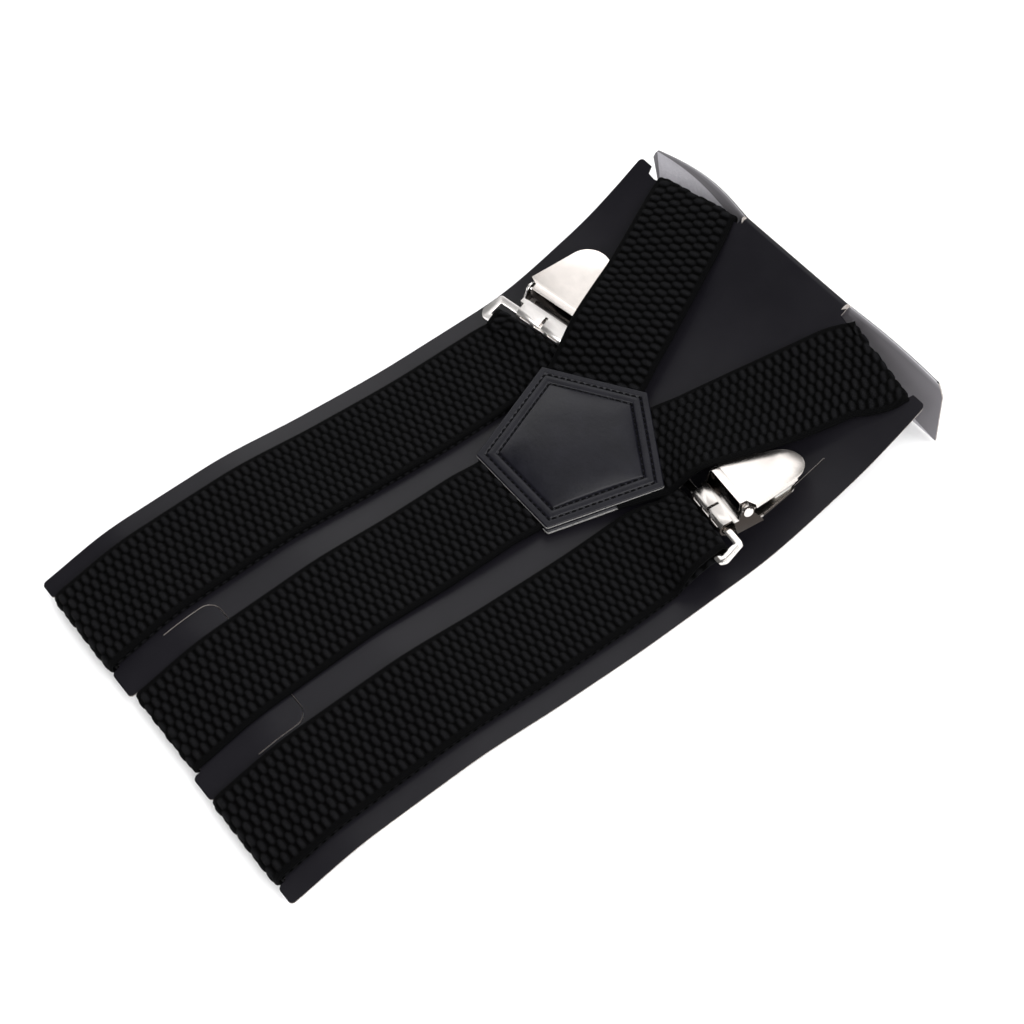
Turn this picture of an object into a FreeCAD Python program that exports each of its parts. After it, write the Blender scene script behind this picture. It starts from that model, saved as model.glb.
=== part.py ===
"""Clip-on suspenders with a Y back, wound on their folded display card.

Frame: X across the card, Y up the card from its lower end to its fold, Z up from the
surface that the card lies on. Everything is drawn with Y = 0 at the card's lower end and
is moved at the end, so that the origin is the centre of the base.
"""
import FreeCAD, Part
import math
import os

os.makedirs("parts", exist_ok=True)
V = FreeCAD.Vector

# ---------------------------------------------------------------- driving dimensions (mm)
CARD_WIDTH = 144.8
CARD_LENGTH = 268.6
CARD_THICKNESS = 0.5
CARD_HEIGHTS = [(0, 3.9), (32, 10.5), (67, 10.9), (107, 6.0), (148, 2.8), (185, 2.65), (228, 13.05), (268.6, 35.4)]
FOLD_RADIUS = 1.6
FOLD_START = 266.4
FLAP_LEAN = 5.6
NOTCH_DEPTH = 3.4
CORNER_RADIUS = 1.7
TOP_NOTCH_IN, TOP_NOTCH_OUT = (25.0, 264.5), (62.5, 258.0)
RIGHT_NOTCH_IN = (28.0, 264.0)
EAR_TOP = 260.5
FLAP_FRONT = 267.9
SLIT_WIDTH = 0.35
TAB_HALF, TAB_START, TAB_END = 27.5, 20.0, 39.6
SIDE_TAB = ((55.5, 203.0), (59.4, 229.5))

WEB_WIDTH = 35.0
WEB_THICKNESS = 1.4
WEB_GAP = 0.15
STRAP_X = 47.0
REAR_X = 0.5
INNER_LAYER = WEB_GAP + WEB_THICKNESS / 2
OUTER_LAYER = INNER_LAYER + WEB_THICKNESS + WEB_GAP
FLOOR_LAYER = WEB_THICKNESS / 2

LEATHER = 1.0
PADDING = 0.9
PATCH_CENTRE_X = -0.6
PATCH_LOW, PATCH_WAIST, PATCH_PEAK = (19.2, 142.2), (32.8, 182.2), 202.7
PATCH_HEIGHT, PATCH_SLOPE = 7.6, 0.0635

SHEET = 0.7
CLIP_HALF = 10.4
EAR_HALF = 12.0
EAR_RADIUS = 2.35
RING_TILT = 12.0
RING_OUTER = [(20.6, -6.7), (22.3, -4.2), (19.8, 3.9)]
RING_WINDOW = [(18.4, -3.8), (18.6, -3.2), (17.9, 1.3)]
SWIVEL = (2.6, 2.6)
HINGE = (10.8, 6.8)
PIN_RADIUS = 1.1
RUNNING_GAP = 0.05
CAM_RADIUS = 3.2
LEVER_TIP, LEVER_TIP_RADIUS, LEVER_SHOULDER = 37.6, 8.5, 13.2
LEVER_DROP = 8.1

ADJUSTER_Y = 46.0
ADJUSTER_LENGTH = 20.0
ADJUSTER_HALF = 20.6


# ---------------------------------------------------------------- card surface
def knot_slopes(knots):
    """Slopes of a smooth curve through the knots that never overshoots them."""
    steps = [(b[0] - a[0], (b[1] - a[1]) / (b[0] - a[0])) for a, b in zip(knots, knots[1:])]
    inner = []
    for (h0, d0), (h1, d1) in zip(steps, steps[1:]):
        w0, w1 = 2 * h1 + h0, h1 + 2 * h0
        inner.append(0.0 if d0 * d1 <= 0 else (w0 + w1) / (w0 / d0 + w1 / d1))
    return [steps[0][1]] + inner + [steps[-1][1] * 1.1]


CARD_SLOPES = knot_slopes(CARD_HEIGHTS)


def card_height(y):
    """Height and slope of the card's top face at y."""
    y = min(max(y, 0.0), CARD_LENGTH)
    i = max(k for k in range(len(CARD_HEIGHTS) - 1) if CARD_HEIGHTS[k][0] <= y)
    (y0, z0), (y1, z1) = CARD_HEIGHTS[i], CARD_HEIGHTS[i + 1]
    h, t = y1 - y0, (y - y0) / (y1 - y0)
    m0, m1 = CARD_SLOPES[i] * h, CARD_SLOPES[i + 1] * h
    z = (2*t**3 - 3*t*t + 1) * z0 + (t**3 - 2*t*t + t) * m0 + (3*t*t - 2*t**3) * z1 + (t**3 - t*t) * m1
    dz = ((6*t*t - 6*t) * z0 + (3*t*t - 4*t + 1) * m0 + (6*t - 6*t*t) * z1 + (3*t*t - 2*t) * m1) / h
    return z, dz


def on_card(x, y, lift):
    """A point lift above the card's top face, measured square to it."""
    z, slope = card_height(y)
    k = math.hypot(1, slope)
    return V(x, y - lift * slope / k, z + lift / k)


# ---------------------------------------------------------------- general shapes
def rounded_face(points, radii):
    """A flat face in XY whose corners are rounded by the given radii."""
    count = len(points)
    edges, ends = [], []
    for i in range(count):
        p, r = V(*points[i], 0), radii[i] if isinstance(radii, (list, tuple)) else radii
        a, b = V(*points[i - 1], 0) - p, V(*points[(i + 1) % count], 0) - p
        a.normalize()
        b.normalize()
        if r < 1e-6:
            ends.append((p, p, None))
            continue
        half = a.getAngle(b) / 2
        cut = r / math.tan(half)
        middle = (a + b).normalize() * (r / math.sin(half) - r)
        ends.append((p + a * cut, p + b * cut, p + middle))
    for i in range(count):
        start, end, middle = ends[i]
        if middle is not None:
            edges.append(Part.Arc(start, middle, end).toShape())
        edges.append(Part.LineSegment(end, ends[(i + 1) % count][0]).toShape())
    return Part.Face(Part.Wire(edges))


def prism(points, radii, low, high):
    """A solid between two heights with a rounded outline."""
    face = rounded_face(points, radii)
    face.translate(V(0, 0, low))
    return face.extrude(V(0, 0, high - low))


def profile_solid(profile, x0, x1):
    """A solid drawn in the (Y, Z) plane and extruded along X."""
    wire = Part.makePolygon([V(x0, y, z) for y, z in profile + profile[:1]])
    return Part.Face(wire).extrude(V(x1 - x0, 0, 0))


def rod(radius, x0, x1, y, z):
    return Part.makeCylinder(radius, x1 - x0, V(x0, y, z), V(1, 0, 0))


def box(x0, x1, y0, y1, z0, z1):
    return Part.makeBox(x1 - x0, y1 - y0, z1 - z0, V(x0, y0, z0))


def mirrored(points):
    """An outline symmetric about x = 0, from its right half listed bottom to top."""
    return points + [(-x, y) for x, y in reversed(points) if x > 1e-9]


def webbing_sections(path):
    """Rectangular sections of webbing along (centre, across) stations."""
    sections = []
    for i, (centre, across) in enumerate(path):
        before = path[max(i - 1, 0)][0]
        after = path[min(i + 1, len(path) - 1)][0]
        across = V(across).normalize()
        up = across.cross(after - before).normalize()
        side, rise = across * (WEB_WIDTH / 2), up * (WEB_THICKNESS / 2)
        corners = [centre - side - rise, centre + side - rise, centre + side + rise, centre - side + rise]
        sections.append(Part.makePolygon(corners + corners[:1]))
    return sections


def webbing_legs(legs):
    """Solids for the named legs of one strip; neighbouring legs meet on one section."""
    path, spans = [], {}
    for name, stations in legs:
        first = max(len(path) - 1, 0)
        path += stations
        spans[name] = (first, len(path))
    sections = webbing_sections(path)
    return {name: Part.makeLoft(sections[a:b], True, True) for name, (a, b) in spans.items()}


# ---------------------------------------------------------------- display card
def fold_arc():
    """Centre of the fold, and the angles at which the panel and the flap leave it."""
    z, slope = card_height(FOLD_START)
    k = math.hypot(1, slope)
    centre = (FOLD_START + FOLD_RADIUS * slope / k, z - FOLD_RADIUS / k)
    return centre, math.atan2(1, -slope), math.radians(FLAP_LEAN)


def flap_foot():
    """Y of the flap's outer face where it meets the floor."""
    (y, z), _, lean = fold_arc()
    return y + (FOLD_RADIUS + z * math.sin(lean)) / math.cos(lean)


Y_MIDDLE = flap_foot() / 2


def display_card():
    (cy, cz), start, end = fold_arc()
    lean, t = end, CARD_THICKNESS

    def arc(radius):
        spots = [start, (start + end) / 2, end]
        return Part.Arc(*[V(0, cy + radius * math.cos(a), cz + radius * math.sin(a)) for a in spots])

    def panel(lift):
        curve = Part.BSplineCurve()
        steps = 34
        curve.interpolate([on_card(0, FOLD_START * i / steps, lift) for i in range(steps + 1)])
        return curve

    outer, inner = arc(FOLD_RADIUS), arc(FOLD_RADIUS - t)
    foot_out, foot_in = V(0, flap_foot(), 0), V(0, flap_foot() - t / math.cos(lean), 0)
    top, under = panel(0), panel(-t)
    edges = [
        top.toShape(), outer.toShape(), Part.LineSegment(outer.EndPoint, foot_out).toShape(),
        Part.LineSegment(foot_out, foot_in).toShape(), Part.LineSegment(foot_in, inner.EndPoint).toShape(),
        inner.toShape(), under.toShape(), Part.LineSegment(under.StartPoint, top.StartPoint).toShape(),
    ]
    sheet = Part.Face(Part.Wire(Part.__sortEdges__(edges))).extrude(V(CARD_WIDTH, 0, 0))
    sheet.translate(V(-CARD_WIDTH / 2, 0, 0))

    half, reach = CARD_WIDTH / 2, WEB_WIDTH / 2 + 0.6
    cuts = []
    for x in (-STRAP_X, REAR_X, STRAP_X):
        cuts.append(prism([(x - reach, -2), (x + reach, -2), (x + reach, NOTCH_DEPTH),
                           (x - reach, NOTCH_DEPTH)], [0, 0, 0.8, 0.8], -1, 20))
    for side in (-1, 1):
        start = TOP_NOTCH_IN if side < 0 else RIGHT_NOTCH_IN
        notch = [start, TOP_NOTCH_OUT, (65.6, TOP_NOTCH_OUT[1] + 0.3), (66.6, EAR_TOP),
                 (half + 2, EAR_TOP), (half + 2, FLAP_FRONT), (start[0], FLAP_FRONT)]
        cuts.append(prism([(side * x, y) for x, y in notch], 0, 5, 60))
        corner = Part.Face(Part.makePolygon([V(side * (half - 7), 262, 40), V(side * (half + 1), 262, 40),
                                             V(side * (half + 1), 262, 27), V(side * half, 262, 27.5),
                                             V(side * (half - 1.6), 262, 31.5), V(side * (half - 7), 262, 40)]))
        cuts.append(corner.extrude(V(0, 20, 0)))
    cuts += die_cuts() + corner_cuts()
    card = sheet.cut(Part.makeCompound(cuts))
    return max(card.Solids, key=lambda s: s.Volume)


def corner_cuts():
    """What is trimmed off the card's own corners to round them."""
    half, reach, r = CARD_WIDTH / 2, WEB_WIDTH / 2 + 0.6, CORNER_RADIUS
    corners = [(-half, 0, 1, 1), (half, 0, -1, 1), (-half, EAR_TOP, 1, -1), (half, EAR_TOP, -1, -1)]
    for x in (-STRAP_X, REAR_X, STRAP_X):
        corners += [(x - reach, 0, -1, 1), (x + reach, 0, 1, 1)]
    cuts = []
    for x, y, dx, dy in corners:
        cx, cy = x + dx * r, y + dy * r
        square = box(min(x - dx, cx), max(x - dx, cx), min(y - dy, cy), max(y - dy, cy), -1, 40)
        cuts.append(square.cut(Part.makeCylinder(r, 41, V(cx, cy, -1))))
    return cuts


def die_cuts():
    """Thin slits round the tabs that the packer can lift."""
    w = SLIT_WIDTH
    x, y0, y1 = TAB_HALF, TAB_START, TAB_END
    outer = prism([(-x, y0), (x, y0), (x, y1), (-x, y1)], [0, 0, 5, 5], -1, 40)
    inner = prism([(-x + w, y0 - 5), (x - w, y0 - 5), (x - w, y1 - w), (-x + w, y1 - w)], [0, 0, 4.6, 4.6], -2, 41)
    slits = [outer.cut(inner)]
    (x0, low), (x1, high) = SIDE_TAB
    turn = low + 8.6
    for x_a, x_b, y_a, y_b in ((x0, x0 + w, low, turn), (x0, x1, turn, turn + w), (x1 - w, x1, turn + w, high)):
        for side in (-1, 1):
            left, right = sorted((side * x_a, side * x_b))
            slits.append(box(left, right, y_a, y_b, -1, 40))
    return slits


# ---------------------------------------------------------------- clips
class Place:
    """Where a clip lies: its own u runs across, v away from the strap, w up."""

    def __init__(self, origin, yaw, pitch, roll):
        self.origin = V(*origin)
        turn = FreeCAD.Rotation(V(0, 0, 1), yaw)
        turn = turn.multiply(FreeCAD.Rotation(V(1, 0, 0), pitch))
        self.turn = turn.multiply(FreeCAD.Rotation(V(0, 1, 0), roll))

    def point(self, u, v, w):
        return self.origin + self.turn.multVec(V(u, v, w))

    def across(self):
        return self.turn.multVec(V(1, 0, 0))

    def put(self, shape):
        placed = shape.copy()
        placed.Placement = FreeCAD.Placement(self.origin, self.turn).multiply(placed.Placement)
        return placed


CLIPS = {
    "left": Place((-46.7, 191.3, 7.0), 11.5, 9.5, 3.4),
    "right": Place((52.0, 183.5, 11.2), -11.5, 7.6, -18.0),
    "back": Place((0.0, 227.5, 8.4), 0.0, 9.5, 180.0),
}


def clip_ring():
    """Flat loop whose lower bar sits in the fold of the webbing."""
    plate = prism(mirrored(RING_OUTER), [1.6, 2.0, 1.6, 1.6, 2.0, 1.6], -0.7, 0.7)
    plate = plate.cut(prism(mirrored(RING_WINDOW), [0.3, 0.3, 0.8, 0.8, 0.3, 0.3], -2, 2))
    plate.rotate(V(0, SWIVEL[0], 0), V(1, 0, 0), RING_TILT)
    plate.translate(V(0, 0, SWIVEL[1]))
    return plate


def clip_body():
    """One pressed sheet: it curls round the ring's bar, and its ears carry the pin."""
    cy, cz = SWIVEL
    outer, inner = 2.5, 2.5 - SHEET
    curl = rod(outer, -CLIP_HALF, CLIP_HALF, cy, cz).cut(rod(inner, -EAR_HALF, EAR_HALF, cy, cz))
    curl = curl.cut(box(-EAR_HALF, EAR_HALF, cy, cy + 5, cz - 3, cz + 3))
    top = box(-CLIP_HALF, CLIP_HALF, cy, 7.2, cz + inner, cz + outer)
    base = box(-CLIP_HALF, CLIP_HALF, cy, 16.0, cz - outer, cz - inner)
    jaw = prism(mirrored([(CLIP_HALF, 16.0), (6.5, 31.0)]), [0, 3.0, 3.0, 0], cz - outer, cz - inner)
    shape = curl.fuse([top, base, jaw])
    for side in (-1, 1):
        ear = profile_solid([(5.2, cz - outer), (15.2, cz - outer), (15.0, 0.9), (12.7, 5.2), HINGE, (9.0, 8.3),
                             (7.0, cz + outer), (5.2, cz + outer)], EAR_HALF - SHEET, EAR_HALF)
        ear = ear.fuse(rod(EAR_RADIUS, EAR_HALF - SHEET, EAR_HALF, *HINGE))
        bridge = box(CLIP_HALF, EAR_HALF - SHEET, 5.2, 15.0, cz - outer, cz - inner)
        shoulder = box(CLIP_HALF, EAR_HALF - SHEET, 5.2, 7.0, cz + inner, cz + outer)
        wall = ear.fuse([bridge, shoulder])
        shape = shape.fuse(wall if side > 0 else wall.mirror(V(0, 0, 0), V(1, 0, 0)))
    holes = [rod(PIN_RADIUS, -EAR_HALF - 1, EAR_HALF + 1, *HINGE)]
    holes.append(box(-0.6, 0.6, 0.9, 5.6, cz + 1, cz + 4))
    for middle in (-6.2, 0.0, 6.2):
        holes.append(box(middle - 2.3, middle + 2.3, -1.0, 1.3, cz + 1.0, cz + 1.6))
    return shape.cut(Part.makeCompound(holes)).removeSplitter()


def cam_outline():
    """The lever's rolled end: a cam that lets the jaw rise as the lever opens."""
    v, w = HINGE
    points = []
    for turned in range(0, 111, 10):
        radius = CAM_RADIUS - 0.0088 * turned
        angle = math.radians(270 - turned)
        points.append((v + radius * math.cos(angle), w + radius * math.sin(angle)))
    return points


def clip_lever():
    v, w = HINGE
    drop = math.tan(math.radians(LEVER_DROP))
    corner = (9.5, w + CAM_RADIUS - 0.1)
    tip_z = corner[1] - (LEVER_TIP - corner[0]) * drop
    plate_profile = [corner, (LEVER_TIP + 1, tip_z - drop), (LEVER_TIP + 1, tip_z - drop - SHEET),
                     (corner[0], corner[1] - SHEET)]
    plate = profile_solid(plate_profile, -15, 15)
    tip = (LEVER_TIP - LEVER_TIP_RADIUS, LEVER_TIP_RADIUS)
    shoulder = (LEVER_SHOULDER, 13.6)
    reach = math.hypot(shoulder[0], tip[0] - shoulder[1])
    lean = math.acos(tip[1] / reach) - math.atan2(tip[0] - shoulder[1], shoulder[0])
    touch = (tip[1] * math.cos(lean), tip[0] + tip[1] * math.sin(lean))
    half = [(9.9, 9.0), (9.9, 12.0), shoulder, touch]
    edges = [Part.LineSegment(V(*a, 0), V(*b, 0)).toShape() for a, b in zip(half, half[1:])]
    edges.append(Part.Arc(V(*touch, 0), V(0, LEVER_TIP, 0), V(-touch[0], touch[1], 0)).toShape())
    other = [(-x, y) for x, y in reversed(half)] + [half[0]]
    edges += [Part.LineSegment(V(*a, 0), V(*b, 0)).toShape() for a, b in zip(other, other[1:])]
    outline = Part.Face(Part.Wire(edges)).extrude(V(0, 0, 20))
    plate = plate.common(outline)
    roll = cam_outline() + [corner, (v + 1.6, w + CAM_RADIUS - 0.3), (v + 1.3, w - 1.2), (v + 0.9, w - 2.9)]
    cam = profile_solid(roll, -9.9, 9.9)
    hollow = rod(1.95, -8.9, 8.9, v, w)
    bore = rod(PIN_RADIUS + RUNNING_GAP, -12, 12, v, w)
    rim = lever_rim(half[2], touch, corner, drop)
    return plate.fuse([cam, rim]).cut(hollow).cut(bore).removeSplitter()


def lever_rim(shoulder, touch, corner, drop):
    """Turned-down edge along both sides of the lever."""
    rims = []
    for side in (-1, 1):
        a, b = V(side * shoulder[0], shoulder[1], 0), V(side * touch[0], touch[1], 0)
        along = (b - a).normalize()
        inward = V(-side * abs(along.y), -side * -along.x * side, 0).normalize() * 0.6
        base = Part.makePolygon([a, b, b + inward, a + inward, a])
        wall = Part.Face(base).extrude(V(0, 0, 20))
        high = corner[1] - 0.02
        band = profile_solid([(corner[0], high), (LEVER_TIP, high - (LEVER_TIP - corner[0]) * drop),
                              (LEVER_TIP, high - (LEVER_TIP - corner[0]) * drop - 1.7),
                              (corner[0], high - 1.7)], -15, 15)
        rims.append(wall.common(band))
    return rims[0].fuse(rims[1])


def clip_pin():
    """Hinge pin with its two rivet heads."""
    shape = rod(PIN_RADIUS, -EAR_HALF, EAR_HALF, *HINGE)
    heads = [rod(1.75, -EAR_HALF - 0.45, -EAR_HALF, *HINGE), rod(1.75, EAR_HALF, EAR_HALF + 0.45, *HINGE)]
    return shape.fuse(heads).removeSplitter()


JAW_ROOT = (5.6, 2.9)
JAW_SPAN = 26.4


def clip_jaw():
    """Sprung upper jaw under the lever; its end turns down to carry a grip pad."""
    v0, w0 = JAW_ROOT
    top = HINGE[1] - CAM_RADIUS - 0.08
    profile = [(v0 - 0.6, w0 - 0.35), (v0 + 0.5, w0 - 0.35), (v0 + 1.6, top - 0.6), (v0 + JAW_SPAN - 1.2, top - 1.3),
               (v0 + JAW_SPAN, top - 1.3), (v0 + JAW_SPAN, top - 0.7), (v0 + JAW_SPAN - 1.4, top - 0.7),
               (v0 + 1.4, top), (v0 + 0.3, w0 + 0.3), (v0 - 0.6, w0 + 0.3)]
    outline = prism(mirrored([(8.2, v0 - 1), (8.2, 17.0), (6.0, v0 + JAW_SPAN)]), [0, 0, 2.0, 2.0, 0, 0], -1, 6)
    return profile_solid(profile, -10, 10).common(outline)


def grip_pad(low, high, teeth_down):
    """Soft insert with cross ribs, which bites the cloth."""
    pad = prism(mirrored([(6.4, 22.6), (5.4, 30.4)]), [0.6, 2.0, 2.0, 0.6], low, high)
    ribs = []
    for k in range(4):
        v = 23.6 + 1.9 * k
        z0, z1 = (low - 0.35, low + 0.05) if teeth_down else (high - 0.05, high + 0.35)
        ribs.append(box(-4.8, 4.8, v, v + 0.8, z0, z1))
    return pad.fuse(ribs)


def clip_pieces():
    jaw_under = HINGE[1] - CAM_RADIUS - 0.08 - 1.3
    base_top = SWIVEL[1] - 2.5 + SHEET
    return {
        "clip_ring": clip_ring(),
        "clip_body": clip_body(),
        "clip_lever": clip_lever(),
        "clip_pin": clip_pin(),
        "clip_jaw": clip_jaw(),
        "clip_lower_pad": grip_pad(base_top, base_top + 0.35, False),
        "clip_upper_pad": grip_pad(jaw_under - 0.25, jaw_under - 0.02, True),
    }


# ---------------------------------------------------------------- webbing
X_AXIS = V(1, 0, 0)
SHOULDERS = {
    "left": {"sign": -1, "x": 21.8, "lean": 0.384, "at": 205.1, "fold_x": 43.3,
             "outer": [(184.5, 0), (201, 19.7), (226, 20.9), (259, 30.9)], "inner": [(201, 0), (262, 31.8)]},
    "right": {"sign": 1, "x": 24.9, "lean": 0.404, "at": 204.5, "fold_x": 49.6,
              "outer": [(183.0, 0), (192.5, 18.7), (226, 20.9), (259, 30.9)], "inner": [(201, 0), (262, 31.8)]},
}
FRONT_END = {"left": 172.0, "right": 160.0}
ADJUSTER_LAYER = 2.35
MAIN_TOP = ADJUSTER_LAYER + WEB_THICKNESS / 2
LOOP_LOW = MAIN_TOP + 0.25 + WEB_THICKNESS / 2
BAR_LOW = LOOP_LOW + WEB_THICKNESS / 2 + 0.05
BAR_HIGH = BAR_LOW + 1.2
RING_BAR = (-5.2, SWIVEL[1] - (SWIVEL[0] + 5.2) * math.sin(math.radians(RING_TILT)))
FOLD_MIDDLE = -2.75
FOLD_MID_RADIUS = 0.7 + 0.1 + WEB_THICKNESS / 2


def lower_wrap(x, lift, steps=8):
    """Stations round the card's lower edge, from the top face to the underside."""
    radius = lift + CARD_THICKNESS / 2
    centre = on_card(x, NOTCH_DEPTH, -CARD_THICKNESS / 2)
    _, slope = card_height(NOTCH_DEPTH)
    tilt = math.atan(slope)
    stations = []
    for i in range(steps + 1):
        angle = math.pi / 2 + tilt + (math.pi - tilt) * i / steps
        stations.append((centre + V(0, radius * math.cos(angle), radius * math.sin(angle)), X_AXIS))
    return stations


def ring_fold(place, steps=8):
    """Stations where the webbing goes over the ring's lower bar, round it and back under."""
    middle = RING_BAR[1]
    lean = math.tan(math.radians(RING_TILT))
    stations = [(place.point(0, v, middle + FOLD_MID_RADIUS + (v + 5.2) * lean), place.across()) for v in (-9, -5.2)]
    for i in range(steps + 1):
        angle = math.pi / 2 - math.pi * i / steps
        v = FOLD_MIDDLE + FOLD_MID_RADIUS * math.cos(angle)
        w = middle + (FOLD_MIDDLE + 5.2) * lean + FOLD_MID_RADIUS * math.sin(angle)
        stations.append((place.point(0, v, w), place.across()))
    stations += [(place.point(0, v, middle - FOLD_MID_RADIUS + (v + 5.2) * lean), place.across()) for v in (-5.2, -7.2)]
    return stations


def card_levels(first, last, pitch=6.0):
    count = int((last - first) / pitch) + 1
    return [first + (last - first) * i / count for i in range(count + 1)]


def adjuster_path(x):
    """The sewn end of the webbing, folded round the adjuster's toothed bar."""
    radius = 0.65 + WEB_THICKNESS / 2
    middle = (BAR_LOW + BAR_HIGH) / 2
    stations = [(V(x, ADJUSTER_Y - 3.0, middle + radius), X_AXIS)]
    for i in range(9):
        angle = math.pi / 2 - math.pi * i / 8
        spot = V(x, ADJUSTER_Y + 1.0 + radius * math.cos(angle), middle + radius * math.sin(angle))
        stations.append((spot, X_AXIS))
    stations.append((V(x, ADJUSTER_Y - 4.0, LOOP_LOW), X_AXIS))
    return stations


def drift(x0, x1, y):
    """X of a back strap: straight past the adjuster's travel, then leaning to its notch."""
    return x0 + (x1 - x0) * max(0.0, y - 94) / 164


def back_path(x0, x1):
    """Behind the card: through the adjuster, along the floor, then up under the card."""
    stations = []
    low = [(12, ADJUSTER_LAYER - 0.1), (20, ADJUSTER_LAYER), (94, ADJUSTER_LAYER), (118, FLOOR_LAYER + 0.4),
           (132, FLOOR_LAYER), (168, FLOOR_LAYER)]
    for y, z in low:
        stations.append((V(drift(x0, x1, y), y, z), X_AXIS))
    for y in card_levels(184, 256):
        stations.append((on_card(drift(x0, x1, y), y, -CARD_THICKNESS - INNER_LAYER - 0.1), X_AXIS))
    return stations


def notch_wrap(side, steps=8):
    """Round the card's top notch, from the underside to the top face."""
    data = SHOULDERS[side]
    sign = data["sign"]
    (xi, yi), (xo, yo) = TOP_NOTCH_IN, TOP_NOTCH_OUT

    def edge(x):
        return on_card(sign * x, yi + (yo - yi) * (x - xi) / (xo - xi), -CARD_THICKNESS / 2)

    inner, outer = edge(data["fold_x"] - 15), edge(data["fold_x"] + 15)
    across = (outer - inner if sign > 0 else inner - outer).normalize()
    centre = (inner + outer) * 0.5
    up = V(0, -card_height(centre.y)[1], 1).normalize()
    out = up.cross(across)
    radius = INNER_LAYER + CARD_THICKNESS / 2 + 0.15
    angles = [math.pi * (1 - i / steps) for i in range(steps + 1)]
    return [(centre + up * (radius * math.cos(a)) + out * (radius * math.sin(a)), across) for a in angles]


def edge_height(knots, y):
    """Height of one edge of a shoulder strap: in the patch first, then along its knots."""
    inside = patch_top(y) - LEATHER - 0.12 - WEB_THICKNESS / 2
    leave = knots[0][0]
    if y <= leave:
        return inside
    knots = [(leave, patch_top(leave) - LEATHER - 0.12 - WEB_THICKNESS / 2)] + knots[1:]
    for (y0, z0), (y1, z1) in zip(knots, knots[1:]):
        if y <= y1:
            return z0 + (z1 - z0) * (y - y0) / (y1 - y0)
    return knots[-1][1]


def shoulder_path(side):
    """From the top notch down over the clip and into the patch."""
    data = SHOULDERS[side]
    sign, lean = data["sign"], math.atan(data["lean"])
    reach = WEB_WIDTH / 2 * math.sin(lean)
    stations = []
    for y in (250, 240, 230, 220, 212, 206, 201, 197, 193, 189, 185, 180, 172):
        outer, inner = edge_height(data["outer"], y - reach), edge_height(data["inner"], y + reach)
        x = sign * (data["x"] + data["lean"] * (y - data["at"]))
        across = V(math.cos(lean), -sign * math.sin(lean), sign * (outer - inner) / WEB_WIDTH)
        stations.append((V(x, y, (outer + inner) / 2), across))
    return stations


def side_strap(side):
    """One side strap, from its sewn end at the adjuster to the patch."""
    place, sign = CLIPS[side], SHOULDERS[side]["sign"]
    x = sign * STRAP_X
    end = on_card(x, 0, 0).y + FRONT_END[side]
    up_card = [(on_card(x, y, INNER_LAYER), X_AXIS) for y in card_levels(9, end)]
    down_card = [(on_card(x, y, OUTER_LAYER), X_AXIS) for y in card_levels(end, 9, -6.0)]
    fold, wrap = ring_fold(place), notch_wrap(side)
    return_end = [(V(x, y, z), X_AXIS) for y, z in ((18, LOOP_LOW), (10, LOOP_LOW - 0.2))]
    inner_wrap, outer_wrap = list(reversed(lower_wrap(x, INNER_LAYER))), lower_wrap(x, OUTER_LAYER)
    legs = [
        (side + "_adjuster_loop", adjuster_path(x)),
        (side + "_return_end", return_end + inner_wrap[:1]),
        (side + "_return_strap", inner_wrap[1:] + up_card + list(reversed(fold))[:3]),
        (side + "_front_strap", list(reversed(fold))[3:] + down_card + outer_wrap),
        (side + "_back_strap", back_path(x, sign * SHOULDERS[side]["fold_x"]) + wrap[:5]),
        (side + "_shoulder_strap", wrap[5:] + shoulder_path(side)),
    ]
    solids = webbing_legs(legs)
    middle = PATCH_CENTRE_X + sign * 0.1
    keep = box(*sorted((middle, sign * 90)), 160, 300, 0, 60).cut(patch_sheet(0, -LEATHER, 1.6))
    shoulder = solids[side + "_shoulder_strap"].common(keep)
    solids[side + "_shoulder_strap"] = max(shoulder.Solids, key=lambda s: s.Volume)
    return solids


def rear_strap():
    """The single rear strap: out of the patch, round the card's lower end, to its clip."""
    inside = [(V(PATCH_CENTRE_X, y, patch_top(y) - LEATHER - 0.12 - WEB_THICKNESS / 2), X_AXIS) for y in (162, 150, 141)]
    drape = [(130, 2.35), (120, 1.95)]
    drape += [(y, 1.5 * max(0.0, (y - 50) / 60) ** 1.5) for y in card_levels(110, 9, -6.0)]
    front = [(on_card(REAR_X - 1.6 * y / 140, y, INNER_LAYER + lift), X_AXIS) for y, lift in drape]
    low = [(12, 2.4), (26, 1.2), (45, FLOOR_LAYER), (80, FLOOR_LAYER), (120, FLOOR_LAYER), (160, FLOOR_LAYER),
           (185, FLOOR_LAYER), (197, FLOOR_LAYER + 0.1), (206, 2.5)]
    behind = [(V(REAR_X * max(0.0, 1 - y / 60), y, z), X_AXIS) for y, z in low]
    fold = [(point, X_AXIS) for point, _ in ring_fold(CLIPS["back"])]
    tail = [(V(0, 206, 4.15), X_AXIS)]
    return webbing_legs([
        ("rear_strap_front_run", inside + front + lower_wrap(REAR_X, INNER_LAYER)),
        ("rear_strap_back_run", behind + fold + tail),
    ])


def webbing():
    shapes = {}
    shapes.update(side_strap("left"))
    shapes.update(side_strap("right"))
    shapes.update(rear_strap())
    return shapes


def patch_top(y):
    return PATCH_HEIGHT + PATCH_SLOPE * (y - 141)


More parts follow.
